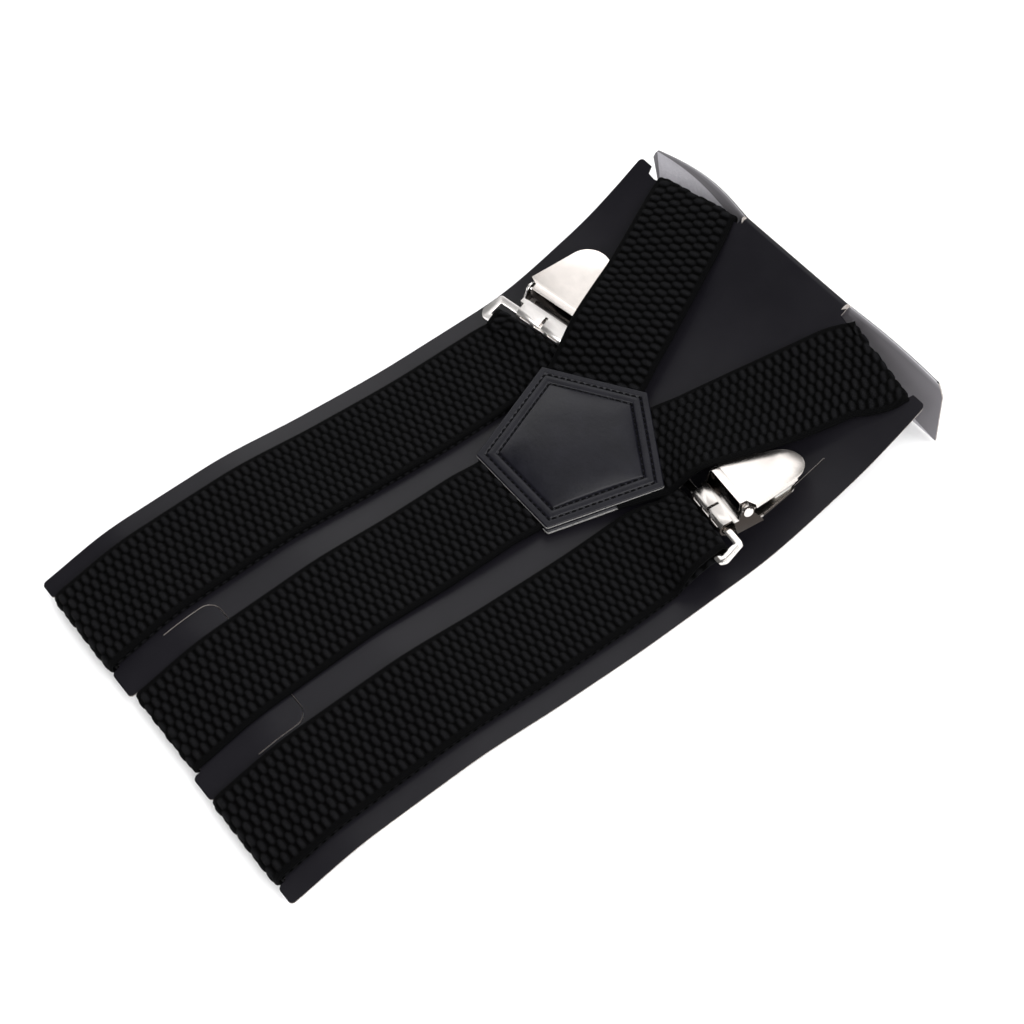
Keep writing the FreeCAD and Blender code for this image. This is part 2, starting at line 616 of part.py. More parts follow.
# ---------------------------------------------------------------- adjusters
def adjuster_frame(x):
    """Rectangular slide: end bars under the webbing, a toothed bar over it."""
    y0, y1 = ADJUSTER_Y - ADJUSTER_LENGTH / 2, ADJUSTER_Y + ADJUSTER_LENGTH / 2
    rail = ADJUSTER_HALF - 2.2
    pieces = []
    for side in (-1, 1):
        a, b = sorted((x + side * rail, x + side * ADJUSTER_HALF))
        profile = [(y0, 0.1), (y1, 0.1), (y1, 1.3), (ADJUSTER_Y + 3.5, BAR_HIGH), (ADJUSTER_Y - 3.5, BAR_HIGH),
                   (y0, 1.3)]
        pieces.append(profile_solid(profile, a, b))
    for y in (y0, y1 - 2.4):
        pieces.append(box(x - rail, x + rail, y, y + 2.4, 0.1, 1.3))
    pieces.append(box(x - rail, x + rail, ADJUSTER_Y - 1.2, ADJUSTER_Y + 1.2, BAR_LOW, BAR_HIGH))
    return pieces[0].fuse(pieces[1:]).removeSplitter()


# ---------------------------------------------------------------- leather patch
def patch_outline(inset=0.0, grow_low=0.0):
    """Five corners of the patch, moved in by inset."""
    (lx, ly), (wx, wy), peak = PATCH_LOW, PATCH_WAIST, PATCH_PEAK
    corners = [V(lx, ly, 0), V(wx, wy, 0), V(0, peak, 0), V(-wx, wy, 0), V(-lx, ly, 0)]
    moved = []
    for i, corner in enumerate(corners):
        a = (corners[i - 1] - corner).normalize()
        b = (corners[(i + 1) % 5] - corner).normalize()
        half = a.getAngle(b) / 2
        moved.append(corner + (a + b).normalize() * (inset / math.sin(half)))
    return [(p.x, p.y - grow_low) for p in moved]


def patch_sheet(inset, low, high, shift=0.0):
    """A layer of the patch between two heights measured from its top face."""
    outline = prism(patch_outline(inset, shift), 1.2, -10, 40)
    y0, y1 = 130.0, 215.0
    slab = profile_solid([(y0, patch_top(y0) + low), (y1, patch_top(y1) + low), (y1, patch_top(y1) + high),
                          (y0, patch_top(y0) + high)], -50, 50)
    layer = outline.common(slab)
    layer.translate(V(PATCH_CENTRE_X, 0, 0))
    return layer


def stitch_row(inset, pitch=3.1, length=2.3):
    """Short raised threads along the patch's outline."""
    corners = patch_outline(inset)
    threads = []
    for i, corner in enumerate(corners):
        a, b = V(*corner, 0), V(*corners[(i + 1) % 5], 0)
        run = b - a
        count = int(run.Length / pitch)
        step = run * (1.0 / count)
        for k in range(count):
            start = a + step * (k + 0.5 - 0.5 * length / step.Length)
            end = start + V(run).normalize() * length
            side = V(-run.y, run.x, 0).normalize() * 0.25
            base = [p + V(PATCH_CENTRE_X, 0, patch_top(p.y)) for p in (start - side, end - side, end + side, start + side)]
            threads.append(Part.Face(Part.makePolygon(base + base[:1])).extrude(V(0, 0, 0.3)))
    return threads


def patch():
    inner = WEB_THICKNESS + 0.24
    pad = patch_sheet(8.6, -LEATHER - 0.1, -LEATHER + PADDING - 0.1)
    front = patch_sheet(0, -LEATHER, 0).fuse(patch_sheet(7.4, -0.2, PADDING)).cut(patch_sheet(8.5, -5, -LEATHER + PADDING))
    back = patch_sheet(0.0, -inner - 2 * LEATHER, -inner - LEATHER, shift=0.7)
    return {
        "patch_front_leather": front.removeSplitter(),
        "patch_padding": pad,
        "patch_back_leather": back,
        "patch_stitching": Part.makeCompound(stitch_row(2.7) + stitch_row(6.1)),
    }


# ---------------------------------------------------------------- everything
def build():
    nodes = {"display_card": display_card()}
    nodes.update(webbing())
    nodes.update(patch())
    for side, place in CLIPS.items():
        for name, shape in clip_pieces().items():
            nodes[side + "_" + name] = place.put(shape)
    for side, sign in (("left", -1), ("right", 1)):
        nodes[side + "_adjuster"] = adjuster_frame(sign * STRAP_X)
    return nodes


for name, shape in build().items():
    shape = shape.copy()
    shape.translate(V(0, -Y_MIDDLE, 0))
    shape.exportStep("parts/" + name + ".step")
    print(name, "solids", len(shape.Solids), "valid", shape.isValid(), "volume", round(shape.Volume, 1),
          [round(v, 1) for v in (shape.BoundBox.XMin, shape.BoundBox.XMax, shape.BoundBox.YMin, shape.BoundBox.YMax,
                                 shape.BoundBox.ZMin, shape.BoundBox.ZMax)])
for side, place in CLIPS.items():
    swivel = place.point(0, *SWIVEL) - V(0, Y_MIDDLE, 0)
    hinge = place.point(0, *HINGE) - V(0, Y_MIDDLE, 0)
    root = place.point(0, *JAW_ROOT) - V(0, Y_MIDDLE, 0)
    print(side, "swivel", swivel, "hinge", hinge, "jaw", root, "axis", place.across())
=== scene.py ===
"""Y-back clip-on suspenders wound on their folded display card: the visual model.

Lengths are in millimetres on the card (X across, Y up from the card's lower end, Z up), and
become metres in the model's own frame when a piece is made.
"""

import math

import bmesh
import bpy
import numpy as np
from mathutils import Matrix, Vector


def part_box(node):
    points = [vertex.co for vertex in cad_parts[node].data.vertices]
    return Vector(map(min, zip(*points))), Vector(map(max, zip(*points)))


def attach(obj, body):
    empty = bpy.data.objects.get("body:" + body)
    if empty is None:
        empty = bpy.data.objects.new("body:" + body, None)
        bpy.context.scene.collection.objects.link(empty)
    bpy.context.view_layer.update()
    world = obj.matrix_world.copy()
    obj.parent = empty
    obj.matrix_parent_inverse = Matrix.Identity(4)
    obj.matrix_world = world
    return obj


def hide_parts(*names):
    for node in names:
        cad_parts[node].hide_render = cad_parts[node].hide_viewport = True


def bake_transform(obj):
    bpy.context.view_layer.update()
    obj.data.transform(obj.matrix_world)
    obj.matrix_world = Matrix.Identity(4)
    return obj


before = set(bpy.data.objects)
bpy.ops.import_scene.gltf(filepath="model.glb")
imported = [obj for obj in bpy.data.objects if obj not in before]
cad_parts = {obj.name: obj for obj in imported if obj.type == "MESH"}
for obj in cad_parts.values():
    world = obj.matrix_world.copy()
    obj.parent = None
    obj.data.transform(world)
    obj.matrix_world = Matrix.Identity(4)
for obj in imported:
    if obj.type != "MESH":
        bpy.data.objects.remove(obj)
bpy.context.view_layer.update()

# ------------------------------------------------------------------ sizes, millimetres
CARD_LOW, CARD_HIGH = (np.array(c) * 1000 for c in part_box("display_card"))
Y_MIDDLE = (CARD_HIGH[1] - CARD_LOW[1]) / 2
CARD_THICKNESS = 0.5
CARD_LENGTH = 268.6
CARD_HEIGHTS = np.array([(0, 3.9), (32, 10.5), (67, 10.9), (107, 6.0), (148, 2.8), (185, 2.65), (228, 13.05),
                         (268.6, 35.4)])
NOTCH_DEPTH, FOLD_FROM, WING_FROM = 3.4, 266.4, 266.6
TOP_NOTCH_IN, TOP_NOTCH_OUT = (25.0, 264.5), (62.5, 258.0)
FLAP_BOW, FLAP_DROOP = (3.0, 1.0), (1.5, 2.0, 3.5)
TORN = (-23.8, 26.6)
# Heights in metres over which the painted shade on the wings' back fades into full light.
WING_SHADE = (0.0300, 0.0343)

WEB_WIDTH, WEB_THICKNESS, RIBBED_HALF, PLAIN_HALF = 35.0, 1.4, 0.42, 0.62
RIB_COLUMN, RIB_ROW = 3.95, 3.23
STRAP_X, REAR_X = 47.0, 0.5
INNER_LAYER, OUTER_LAYER, FLOOR_LAYER = 0.85, 2.4, 0.7
ADJUSTER_LAYER, LOOP_LOW, BAR_MIDDLE, ADJUSTER_Y = 2.35, 4.0, 5.35, 46.0

RING_TILT, SWIVEL, FOLD_MIDDLE, FOLD_RADIUS = 12.0, (2.6, 2.6), -2.75, 1.5
PATCH_CENTRE_X = -0.6
PATCH_CORNERS = [(19.2, 142.2), (32.8, 182.2), (0.0, 202.7), (-32.8, 182.2), (-19.2, 142.2)]
PATCH_HEIGHT, PATCH_SLOPE, LEATHER = 7.6, 0.0635, 1.0
OUTER_SEAM, INNER_SEAM, STITCH_PITCH = 2.7, 6.1, 2.4
UNDER_LEATHER = LEATHER + 0.12 + WEB_THICKNESS / 2

CLIPS = {
    "left": ((-46.7, 191.3, 7.0), 11.5, 9.5, 3.4),
    "right": ((52.0, 183.5, 11.2), -11.5, 7.6, -18.0),
    "back": ((0.0, 227.5, 8.4), 0.0, 9.5, 180.0),
}
SHOULDERS = {
    "left": {"sign": -1, "x": 21.8, "lean": 0.384, "at": 205.1, "fold_x": 43.3,
             "outer": [(184.5, 0), (201, 19.7), (226, 20.9), (259, 30.9)],
             "inner": [(201, 0), (262, 31.8)]},
    "right": {"sign": 1, "x": 24.9, "lean": 0.404, "at": 204.5, "fold_x": 49.6,
              "outer": [(183.0, 0), (192.5, 18.7), (226, 20.9), (259, 30.9)],
              "inner": [(201, 0), (262, 31.8)]},
}
FRONT_END = {"left": 172.0, "right": 160.0}
FLOOR = -0.0009


def to_frame(points):
    """Card millimetres to metres in the model's frame."""
    return (np.asarray(points, float) - (0, Y_MIDDLE, 0)) / 1000


# ------------------------------------------------------------------ card surface
def knot_slopes(knots):
    step = np.diff(knots, axis=0)
    h, d = step[:, 0], step[:, 1] / step[:, 0]
    inner = []
    for i in range(len(h) - 1):
        w0, w1 = 2 * h[i + 1] + h[i], h[i + 1] + 2 * h[i]
        inner.append(0.0 if d[i] * d[i + 1] <= 0 else (w0 + w1) / (w0 / d[i] + w1 / d[i + 1]))
    return np.array([d[0]] + inner + [d[-1] * 1.1])


CARD_SLOPES = knot_slopes(CARD_HEIGHTS)


def card_height(y):
    """Height and slope of the card's top face at y."""
    y = min(max(y, 0.0), CARD_LENGTH)
    i = min(int(np.searchsorted(CARD_HEIGHTS[:, 0], y, side="right")) - 1, len(CARD_HEIGHTS) - 2)
    (y0, z0), (y1, z1) = CARD_HEIGHTS[i], CARD_HEIGHTS[i + 1]
    h = y1 - y0
    t = (y - y0) / h
    m0, m1 = CARD_SLOPES[i] * h, CARD_SLOPES[i + 1] * h
    z = (2*t**3 - 3*t*t + 1) * z0 + (t**3 - 2*t*t + t) * m0 + (3*t*t - 2*t**3) * z1 + (t**3 - t*t) * m1
    dz = ((6*t*t - 6*t) * z0 + (3*t*t - 4*t + 1) * m0 + (6*t - 6*t*t) * z1 + (3*t*t - 2*t) * m1) / h
    return z, dz


def on_card(x, y, lift):
    z, slope = card_height(y)
    k = math.hypot(1, slope)
    return np.array((x, y - lift * slope / k, z + lift / k))


def patch_top(y):
    return PATCH_HEIGHT + PATCH_SLOPE * (y - 141)


# ------------------------------------------------------------------ node helpers
class Nodes:
    """Short way to build a node tree: put() adds a node, join() links two sockets."""

    def __init__(self, tree):
        self.tree = tree

    def put(self, kind, **settings):
        node = self.tree.nodes.new(kind)
        for key, value in settings.items():
            setattr(node, key, value)
        return node

    def join(self, out, into):
        self.tree.links.new(out, into)

    def math(self, operation, a, b=None, clamp=False):
        node = self.put("ShaderNodeMath", operation=operation, use_clamp=clamp)
        for socket, value in zip(node.inputs, (a, b)):
            if value is None:
                continue
            if isinstance(value, (int, float)):
                socket.default_value = value
            else:
                self.join(value, socket)
        return node.outputs[0]


def new_material(name, colour, roughness, metallic=0.0):
    material = bpy.data.materials.new(name)
    material.use_nodes = True
    nodes = Nodes(material.node_tree)
    shader = material.node_tree.nodes["Principled BSDF"]
    shader.inputs["Base Color"].default_value = (*colour, 1)
    shader.inputs["Roughness"].default_value = roughness
    shader.inputs["Metallic"].default_value = metallic
    material.diffuse_color = (*colour, 1)
    return material, nodes, shader


def noise(nodes, scale, detail=3.0, rough=0.55, stretch=(1, 1, 1)):
    """Noise on the object's own coordinates; scale is in cycles per metre."""
    where = nodes.put("ShaderNodeTexCoord")
    mapping = nodes.put("ShaderNodeMapping")
    mapping.inputs["Scale"].default_value = stretch
    texture = nodes.put("ShaderNodeTexNoise")
    texture.inputs["Scale"].default_value = scale
    texture.inputs["Detail"].default_value = detail
    texture.inputs["Roughness"].default_value = rough
    nodes.join(where.outputs["Object"], mapping.inputs["Vector"])
    nodes.join(mapping.outputs["Vector"], texture.inputs["Vector"])
    return texture.outputs["Fac"]


def ramp(nodes, value, stops):
    node = nodes.put("ShaderNodeValToRGB")
    while len(node.color_ramp.elements) < len(stops):
        node.color_ramp.elements.new(0.5)
    for element, (place, colour) in zip(node.color_ramp.elements, stops):
        element.position = place
        element.color = (*colour, 1) if len(colour) == 3 else colour
    nodes.join(value, node.inputs["Fac"])
    return node.outputs["Color"]


def paint(nodes, shader, value, stops):
    """Colours a material along a ramp of the given value."""
    nodes.join(ramp(nodes, value, stops), shader.inputs["Base Color"])


def rough_between(nodes, shader, value, low, high):
    node = nodes.put("ShaderNodeMapRange")
    node.inputs["To Min"].default_value = low
    node.inputs["To Max"].default_value = high
    nodes.join(value, node.inputs["Value"])
    nodes.join(node.outputs["Result"], shader.inputs["Roughness"])


def bump(nodes, shader, height, distance, strength=1.0, below=None):
    node = nodes.put("ShaderNodeBump")
    node.inputs["Distance"].default_value = distance
    node.inputs["Strength"].default_value = strength
    nodes.join(height, node.inputs["Height"])
    if below is not None:
        nodes.join(below, node.inputs["Normal"])
    nodes.join(node.outputs["Normal"], shader.inputs["Normal"])
    return node.outputs["Normal"]


# ------------------------------------------------------------------ materials
def rib_relief(nodes, along, across, column, row):
    """Height 0..1 of the webbing's ribs: wide pillows stacked in columns, each column half a row on."""
    place = nodes.math("DIVIDE", across, column)
    odd = nodes.math("MULTIPLY", nodes.math("FLOORED_MODULO", nodes.math("FLOOR", place), 2.0), 0.5)
    u = nodes.math("ABSOLUTE", nodes.math("SUBTRACT", nodes.math("FRACT", place), 0.5))
    step = nodes.math("ADD", nodes.math("DIVIDE", along, row), odd)
    v = nodes.math("ABSOLUTE", nodes.math("SUBTRACT", nodes.math("FRACT", step), 0.5))

    def pillow(a, b):
        reach_a = nodes.math("POWER", nodes.math("DIVIDE", nodes.math("ABSOLUTE", a), 0.62), 3.0)
        reach_b = nodes.math("POWER", nodes.math("DIVIDE", nodes.math("ABSOLUTE", b), 0.40), 2.0)
        left = nodes.math("SUBTRACT", 1.0, nodes.math("ADD", reach_a, reach_b))
        return nodes.math("POWER", nodes.math("MAXIMUM", left, 0.0), 0.6)

    here = pillow(u, v)
    neighbour = pillow(nodes.math("SUBTRACT", 1.0, u), nodes.math("SUBTRACT", 0.5, v))
    return nodes.math("MAXIMUM", here, neighbour)


def webbing_material(name, ribs_in_shader):
    """Black elastic webbing. Fine threads everywhere; ribs too where the mesh has none."""
    material, nodes, shader = new_material(name, (0.02, 0.02, 0.022), 0.8)
    along = nodes.put("ShaderNodeAttribute", attribute_name="along").outputs["Fac"]
    across = nodes.put("ShaderNodeAttribute", attribute_name="across").outputs["Fac"]
    if ribs_in_shader:
        relief = rib_relief(nodes, along, across, RIB_COLUMN, RIB_ROW)
    else:
        relief = nodes.put("ShaderNodeAttribute", attribute_name="relief").outputs["Fac"]
    fuzz = noise(nodes, 2600, 2.0)
    patches = noise(nodes, 60, 2.0)
    thread = nodes.math("SINE", nodes.math("MULTIPLY", across, 2 * math.pi / 0.55))
    wale = nodes.math("SINE", nodes.math("MULTIPLY", along, 2 * math.pi / 0.5))
    # Colour follows rib height: near-black in the valleys as painted shade, lighter on the crests as painted
    # highlight.
    rib_shade_depth = nodes.math("ADD", 0.62, nodes.math("MULTIPLY", fuzz, 0.7))
    rib_shade_depth = nodes.math("MULTIPLY", relief, nodes.math("ADD", rib_shade_depth, nodes.math("MULTIPLY", thread, 0.16)))
    colour = ramp(nodes, rib_shade_depth, [(0.0, (0.0001, 0.0001, 0.0001)), (0.35, (0.0007, 0.0007, 0.0008)),
                                 (0.8, (0.0050, 0.0050, 0.0056)), (1.0, (0.0085, 0.0085, 0.0095))])
    vary = nodes.put("ShaderNodeMix", data_type="RGBA", blend_type="MULTIPLY")
    vary.inputs["Factor"].default_value = 0.35
    nodes.join(colour, vary.inputs["A"])
    nodes.join(ramp(nodes, patches, [(0.3, (0.7, 0.7, 0.72)), (0.7, (1.0, 1.0, 1.0))]), vary.inputs["B"])
    nodes.join(vary.outputs["Result"], shader.inputs["Base Color"])
    rough_between(nodes, shader, fuzz, 0.62, 0.82)
    shader.inputs["Sheen Weight"].default_value = 0.008
    shader.inputs["Sheen Roughness"].default_value = 0.5
    shader.inputs["Specular IOR Level"].default_value = 0.03
    fine = nodes.math("ADD", nodes.math("MULTIPLY", thread, 0.5), nodes.math("MULTIPLY", wale, 0.35))
    fine = nodes.math("ADD", fine, nodes.math("MULTIPLY", fuzz, 1.4))
    under = bump(nodes, shader, fine, 0.00013, 0.9)
    if ribs_in_shader:
        bump(nodes, shader, relief, 0.0003, 1.0, under)
    return material


def card_materials():
    """Coated black face, pale unprinted back and brownish cut edge, and the wings' plain back with painted
    shade darker towards the fold.
    """
    face, nodes, shader = new_material("card coated face", (0.006, 0.0055, 0.008), 0.42)
    shader.inputs["Specular IOR Level"].default_value = 0.22
    cloud = noise(nodes, 45, 4.0)
    grain = noise(nodes, 3200, 2.0)
    paint(nodes, shader, cloud, [(0.3, (0.0050, 0.0046, 0.0066)), (0.7, (0.0070, 0.0064, 0.0088))])
    rough_between(nodes, shader, cloud, 0.3, 0.38)
    bump(nodes, shader, nodes.math("ADD", nodes.math("MULTIPLY", cloud, 3.0), grain), 0.00002, 0.6)
    back, nodes, shader = new_material("card plain back", (0.62, 0.6, 0.64), 0.8)
    fibre = noise(nodes, 900, 4.0, stretch=(1, 4, 4))
    paint(nodes, shader, fibre, [(0.3, (0.50, 0.49, 0.53)), (0.7, (0.68, 0.66, 0.70))])
    bump(nodes, shader, fibre, 0.00003, 0.5)
    edge, nodes, shader = new_material("card cut edge", (0.3, 0.27, 0.24), 0.9)
    layers = noise(nodes, 1500, 3.0)
    paint(nodes, shader, layers, [(0.3, (0.22, 0.19, 0.17)), (0.7, (0.42, 0.39, 0.37))])
    bump(nodes, shader, layers, 0.00005, 0.6)
    wing, nodes, shader = new_material("card wing back painted shade", (0.62, 0.6, 0.64), 0.8)
    # The wings' back is painted darker low down towards the fold and lighter at the rim: painted shade.
    spot = nodes.put("ShaderNodeTexCoord")
    split = nodes.put("ShaderNodeSeparateXYZ")
    nodes.join(spot.outputs["Object"], split.inputs["Vector"])
    rise = nodes.put("ShaderNodeMapRange")
    rise.inputs["From Min"].default_value, rise.inputs["From Max"].default_value = WING_SHADE
    nodes.join(split.outputs["Z"], rise.inputs["Value"])
    fibre = noise(nodes, 900, 4.0, stretch=(1, 4, 4))
    mottle = nodes.math("MULTIPLY", nodes.math("SUBTRACT", fibre, 0.5), 0.12)
    wing_shade_tone = nodes.math("ADD", rise.outputs["Result"], mottle)
    paint(nodes, shader, wing_shade_tone, [(0.05, (0.20, 0.19, 0.205)), (0.45, (0.34, 0.33, 0.35)),
                                (0.8, (0.78, 0.76, 0.80)), (1.0, (0.92, 0.90, 0.94))])
    bump(nodes, shader, fibre, 0.00003, 0.5)
    return face, back, edge, wing


def leather_materials():
    """Smooth black leather with a fine grain, and its pale raw edge."""
    face, nodes, shader = new_material("black leather", (0.02, 0.02, 0.022), 0.34)
    cells = nodes.put("ShaderNodeTexVoronoi", feature="DISTANCE_TO_EDGE")
    where = nodes.put("ShaderNodeTexCoord")
    nodes.join(where.outputs["Object"], cells.inputs["Vector"])
    cells.inputs["Scale"].default_value = 1500
    fold = noise(nodes, 120, 4.0)
    pore = noise(nodes, 5200, 2.0)
    paint(nodes, shader, fold, [(0.3, (0.0040, 0.0039, 0.0062)), (0.7, (0.0072, 0.0070, 0.0106))])
    rough_between(nodes, shader, fold, 0.28, 0.4)
    pebble = nodes.math("MINIMUM", nodes.math("MULTIPLY", cells.outputs["Distance"], 6.0), 0.6)
    grain = nodes.math("ADD", pebble, nodes.math("MULTIPLY", pore, 0.4))
    under = bump(nodes, shader, grain, 0.00003, 0.45)
    wrinkle = noise(nodes, 620, 3.0)
    under = bump(nodes, shader, wrinkle, 0.00016, 0.4, under)
    bump(nodes, shader, fold, 0.0004, 0.25, under)
    shader.inputs["Specular IOR Level"].default_value = 0.2
    edge, nodes, shader = new_material("leather raw edge", (0.35, 0.34, 0.34), 0.75)
    fibre = noise(nodes, 1800, 3.0)
    paint(nodes, shader, fibre, [(0.3, (0.2, 0.195, 0.19)), (0.7, (0.5, 0.49, 0.48))])
    bump(nodes, shader, fibre, 0.0001, 0.6)
    return face, edge


def thread_material():
    material, nodes, shader = new_material("black sewing thread", (0.008, 0.008, 0.009), 0.6)
    twist = noise(nodes, 4000, 2.0)
    paint(nodes, shader, twist, [(0.3, (0.0008, 0.0008, 0.0010)), (0.7, (0.0028, 0.0028, 0.0032))])
    bump(nodes, shader, twist, 0.00008, 0.7)
    shader.inputs["Specular IOR Level"].default_value = 0.05
    return material


def nickel_material(name, colour, low, high, brushed=False):
    """Nickel plate: near-mirror, with a faint cloud in its gloss and hairline marks."""
    material, nodes, shader = new_material(name, colour, low, metallic=1.0)
    cloud = noise(nodes, 260, 3.0)
    marks = noise(nodes, 1400, 4.0, stretch=(1, 7, 1) if brushed else (1, 1, 1))
    darker = tuple(c * 0.93 for c in colour)
    paint(nodes, shader, cloud, [(0.3, darker), (0.7, colour)])
    rough_between(nodes, shader, marks, low, high)
    bump(nodes, shader, marks, 0.00003, 0.35 if brushed else 0.12)
    return material


def grip_material():
    material, nodes, shader = new_material("pale grip insert", (0.75, 0.74, 0.7), 0.5)
    cloud = noise(nodes, 500, 3.0)
    paint(nodes, shader, cloud, [(0.3, (0.68, 0.67, 0.63)), (0.7, (0.8, 0.79, 0.75))])
    bump(nodes, shader, cloud, 0.00005, 0.4)
    shader.inputs["Subsurface Weight"].default_value = 0.1
    return material


WEBBING = webbing_material("webbing ribbed face", False)
WEBBING_PLAIN = webbing_material("webbing hidden layer", True)
CARD_FACE, CARD_BACK, CARD_EDGE, CARD_WING_PAINTED_SHADE = card_materials()
LEATHER_FACE, LEATHER_EDGE = leather_materials()
THREAD = thread_material()
NICKEL = nickel_material("nickel plate", (0.78, 0.745, 0.715), 0.08, 0.18)
NICKEL_LEVER = nickel_material("nickel plate lever", (0.74, 0.69, 0.655), 0.2, 0.3)
NICKEL_BRUSHED = nickel_material("nickel plate brushed", (0.95, 0.915, 0.89), 0.24, 0.4, brushed=True)
# A dimmer copy of the nickel: painted dim reflection.
NICKEL_PAINTED_DIM = nickel_material("nickel plate painted dim reflection", (0.46, 0.435, 0.415), 0.14, 0.3, brushed=True)
# A near-black copy of the nickel: painted dark reflection on the cams and cheeks.
NICKEL_PAINTED_DARK = nickel_material("nickel plate painted dark reflection", (0.045, 0.038, 0.034), 0.1, 0.2)
GRIP = grip_material()


# ------------------------------------------------------------------ meshes
def new_object(name, points, faces, materials, smooth=True):
    """A mesh object from points in card millimetres."""
    mesh = bpy.data.meshes.new(name)
    mesh.from_pydata([tuple(p) for p in to_frame(points)], [], faces)
    for material in materials:
        mesh.materials.append(material)
    mesh.polygons.foreach_set("use_smooth", [smooth] * len(mesh.polygons))
    piece = bpy.data.objects.new(name, mesh)
    bpy.context.scene.collection.objects.link(piece)
    return piece


def float_attribute(mesh, name, values):
    attribute = mesh.attributes.new(name, "FLOAT", "POINT")
    attribute.data.foreach_set("value", np.asarray(values, np.float32))


def make_plain(piece):
    """Turns a piece's live modifiers into its mesh."""
    graph = bpy.context.evaluated_depsgraph_get()
    graph.update()
    mesh = bpy.data.meshes.new_from_object(piece.evaluated_get(graph))
    piece.modifiers.clear()
    old, piece.data = piece.data, mesh
    mesh.name = piece.name
    bpy.data.meshes.remove(old)
    return piece


def set_input(modifier, label, value):
    """Sets a Geometry Nodes input by its socket's identifier."""
    for item in modifier.node_group.interface.items_tree:
        if item.item_type == "SOCKET" and item.in_out == "INPUT" and item.name == label:
            modifier[item.identifier] = value
            return
    raise KeyError(label)


def new_tree(name, inputs):
    tree = bpy.data.node_groups.new(name, "GeometryNodeTree")
    tree.interface.new_socket("Geometry", in_out="INPUT", socket_type="NodeSocketGeometry")
    for label, kind, value in inputs:
        socket = tree.interface.new_socket(label, in_out="INPUT", socket_type="NodeSocket" + kind)
        if value is not None:
            socket.default_value = value
    tree.interface.new_socket("Geometry", in_out="OUTPUT", socket_type="NodeSocketGeometry")
    nodes = Nodes(tree)
    return tree, nodes, nodes.put("NodeGroupInput"), nodes.put("NodeGroupOutput")


def woven_ribs_tree():
    """Raises the webbing's staggered oval ribs and keeps its selvedges plain."""
    tree, nodes, given, result = new_tree("woven ribs", [
        ("Rib Column", "Float", RIB_COLUMN), ("Rib Row", "Float", RIB_ROW), ("Rib Height", "Float", 0.85),
        ("Selvedge From", "Float", 15.8), ("Material", "Material", None)])

    def attribute(name, kind="FLOAT"):
        node = nodes.put("GeometryNodeInputNamedAttribute", data_type=kind)
        node.inputs["Name"].default_value = name
        return node.outputs["Attribute"]

    along, across = attribute("along"), attribute("across")
    ribs = rib_relief(nodes, along, across, given.outputs["Rib Column"], given.outputs["Rib Row"])
    wander = nodes.put("ShaderNodeTexNoise")
    wander.inputs["Scale"].default_value = 900
    spot = nodes.put("GeometryNodeInputPosition")
    nodes.join(spot.outputs[0], wander.inputs["Vector"])
    uneven = nodes.math("ADD", 0.78, nodes.math("MULTIPLY", wander.outputs["Fac"], 0.44))
    ribs = nodes.math("MULTIPLY", ribs, uneven)
    field = nodes.math("SUBTRACT", given.outputs["Selvedge From"], nodes.math("ABSOLUTE", across))
    inside = nodes.math("MULTIPLY", field, 2.5, clamp=True)
    twill = nodes.math("SINE", nodes.math("MULTIPLY", nodes.math("ADD", along, across), 5.0))
    selvedge = nodes.math("ADD", 0.42, nodes.math("MULTIPLY", twill, 0.05))
    plain = nodes.math("MULTIPLY", nodes.math("SUBTRACT", 1.0, inside), selvedge)
    relief = nodes.math("ADD", nodes.math("MULTIPLY", ribs, inside), plain)
    keep = nodes.put("GeometryNodeStoreNamedAttribute", data_type="FLOAT", domain="POINT")
    keep.inputs["Name"].default_value = "relief"
    nodes.join(given.outputs["Geometry"], keep.inputs["Geometry"])
    nodes.join(relief, keep.inputs["Value"])
    height = nodes.math("MULTIPLY", relief, nodes.math("MULTIPLY", given.outputs["Rib Height"], 0.001))
    push = nodes.put("ShaderNodeVectorMath", operation="SCALE")
    nodes.join(attribute("facing", "FLOAT_VECTOR"), push.inputs[0])
    nodes.join(height, push.inputs["Scale"])
    move = nodes.put("GeometryNodeSetPosition")
    nodes.join(keep.outputs["Geometry"], move.inputs["Geometry"])
    nodes.join(push.outputs["Vector"], move.inputs["Offset"])
    real = nodes.put("GeometryNodeRealizeInstances")
    paint = nodes.put("GeometryNodeSetMaterial")
    nodes.join(move.outputs["Geometry"], real.inputs["Geometry"])
    nodes.join(real.outputs["Geometry"], paint.inputs["Geometry"])
    nodes.join(given.outputs["Material"], paint.inputs["Material"])
    nodes.join(paint.outputs["Geometry"], result.inputs["Geometry"])
    return tree


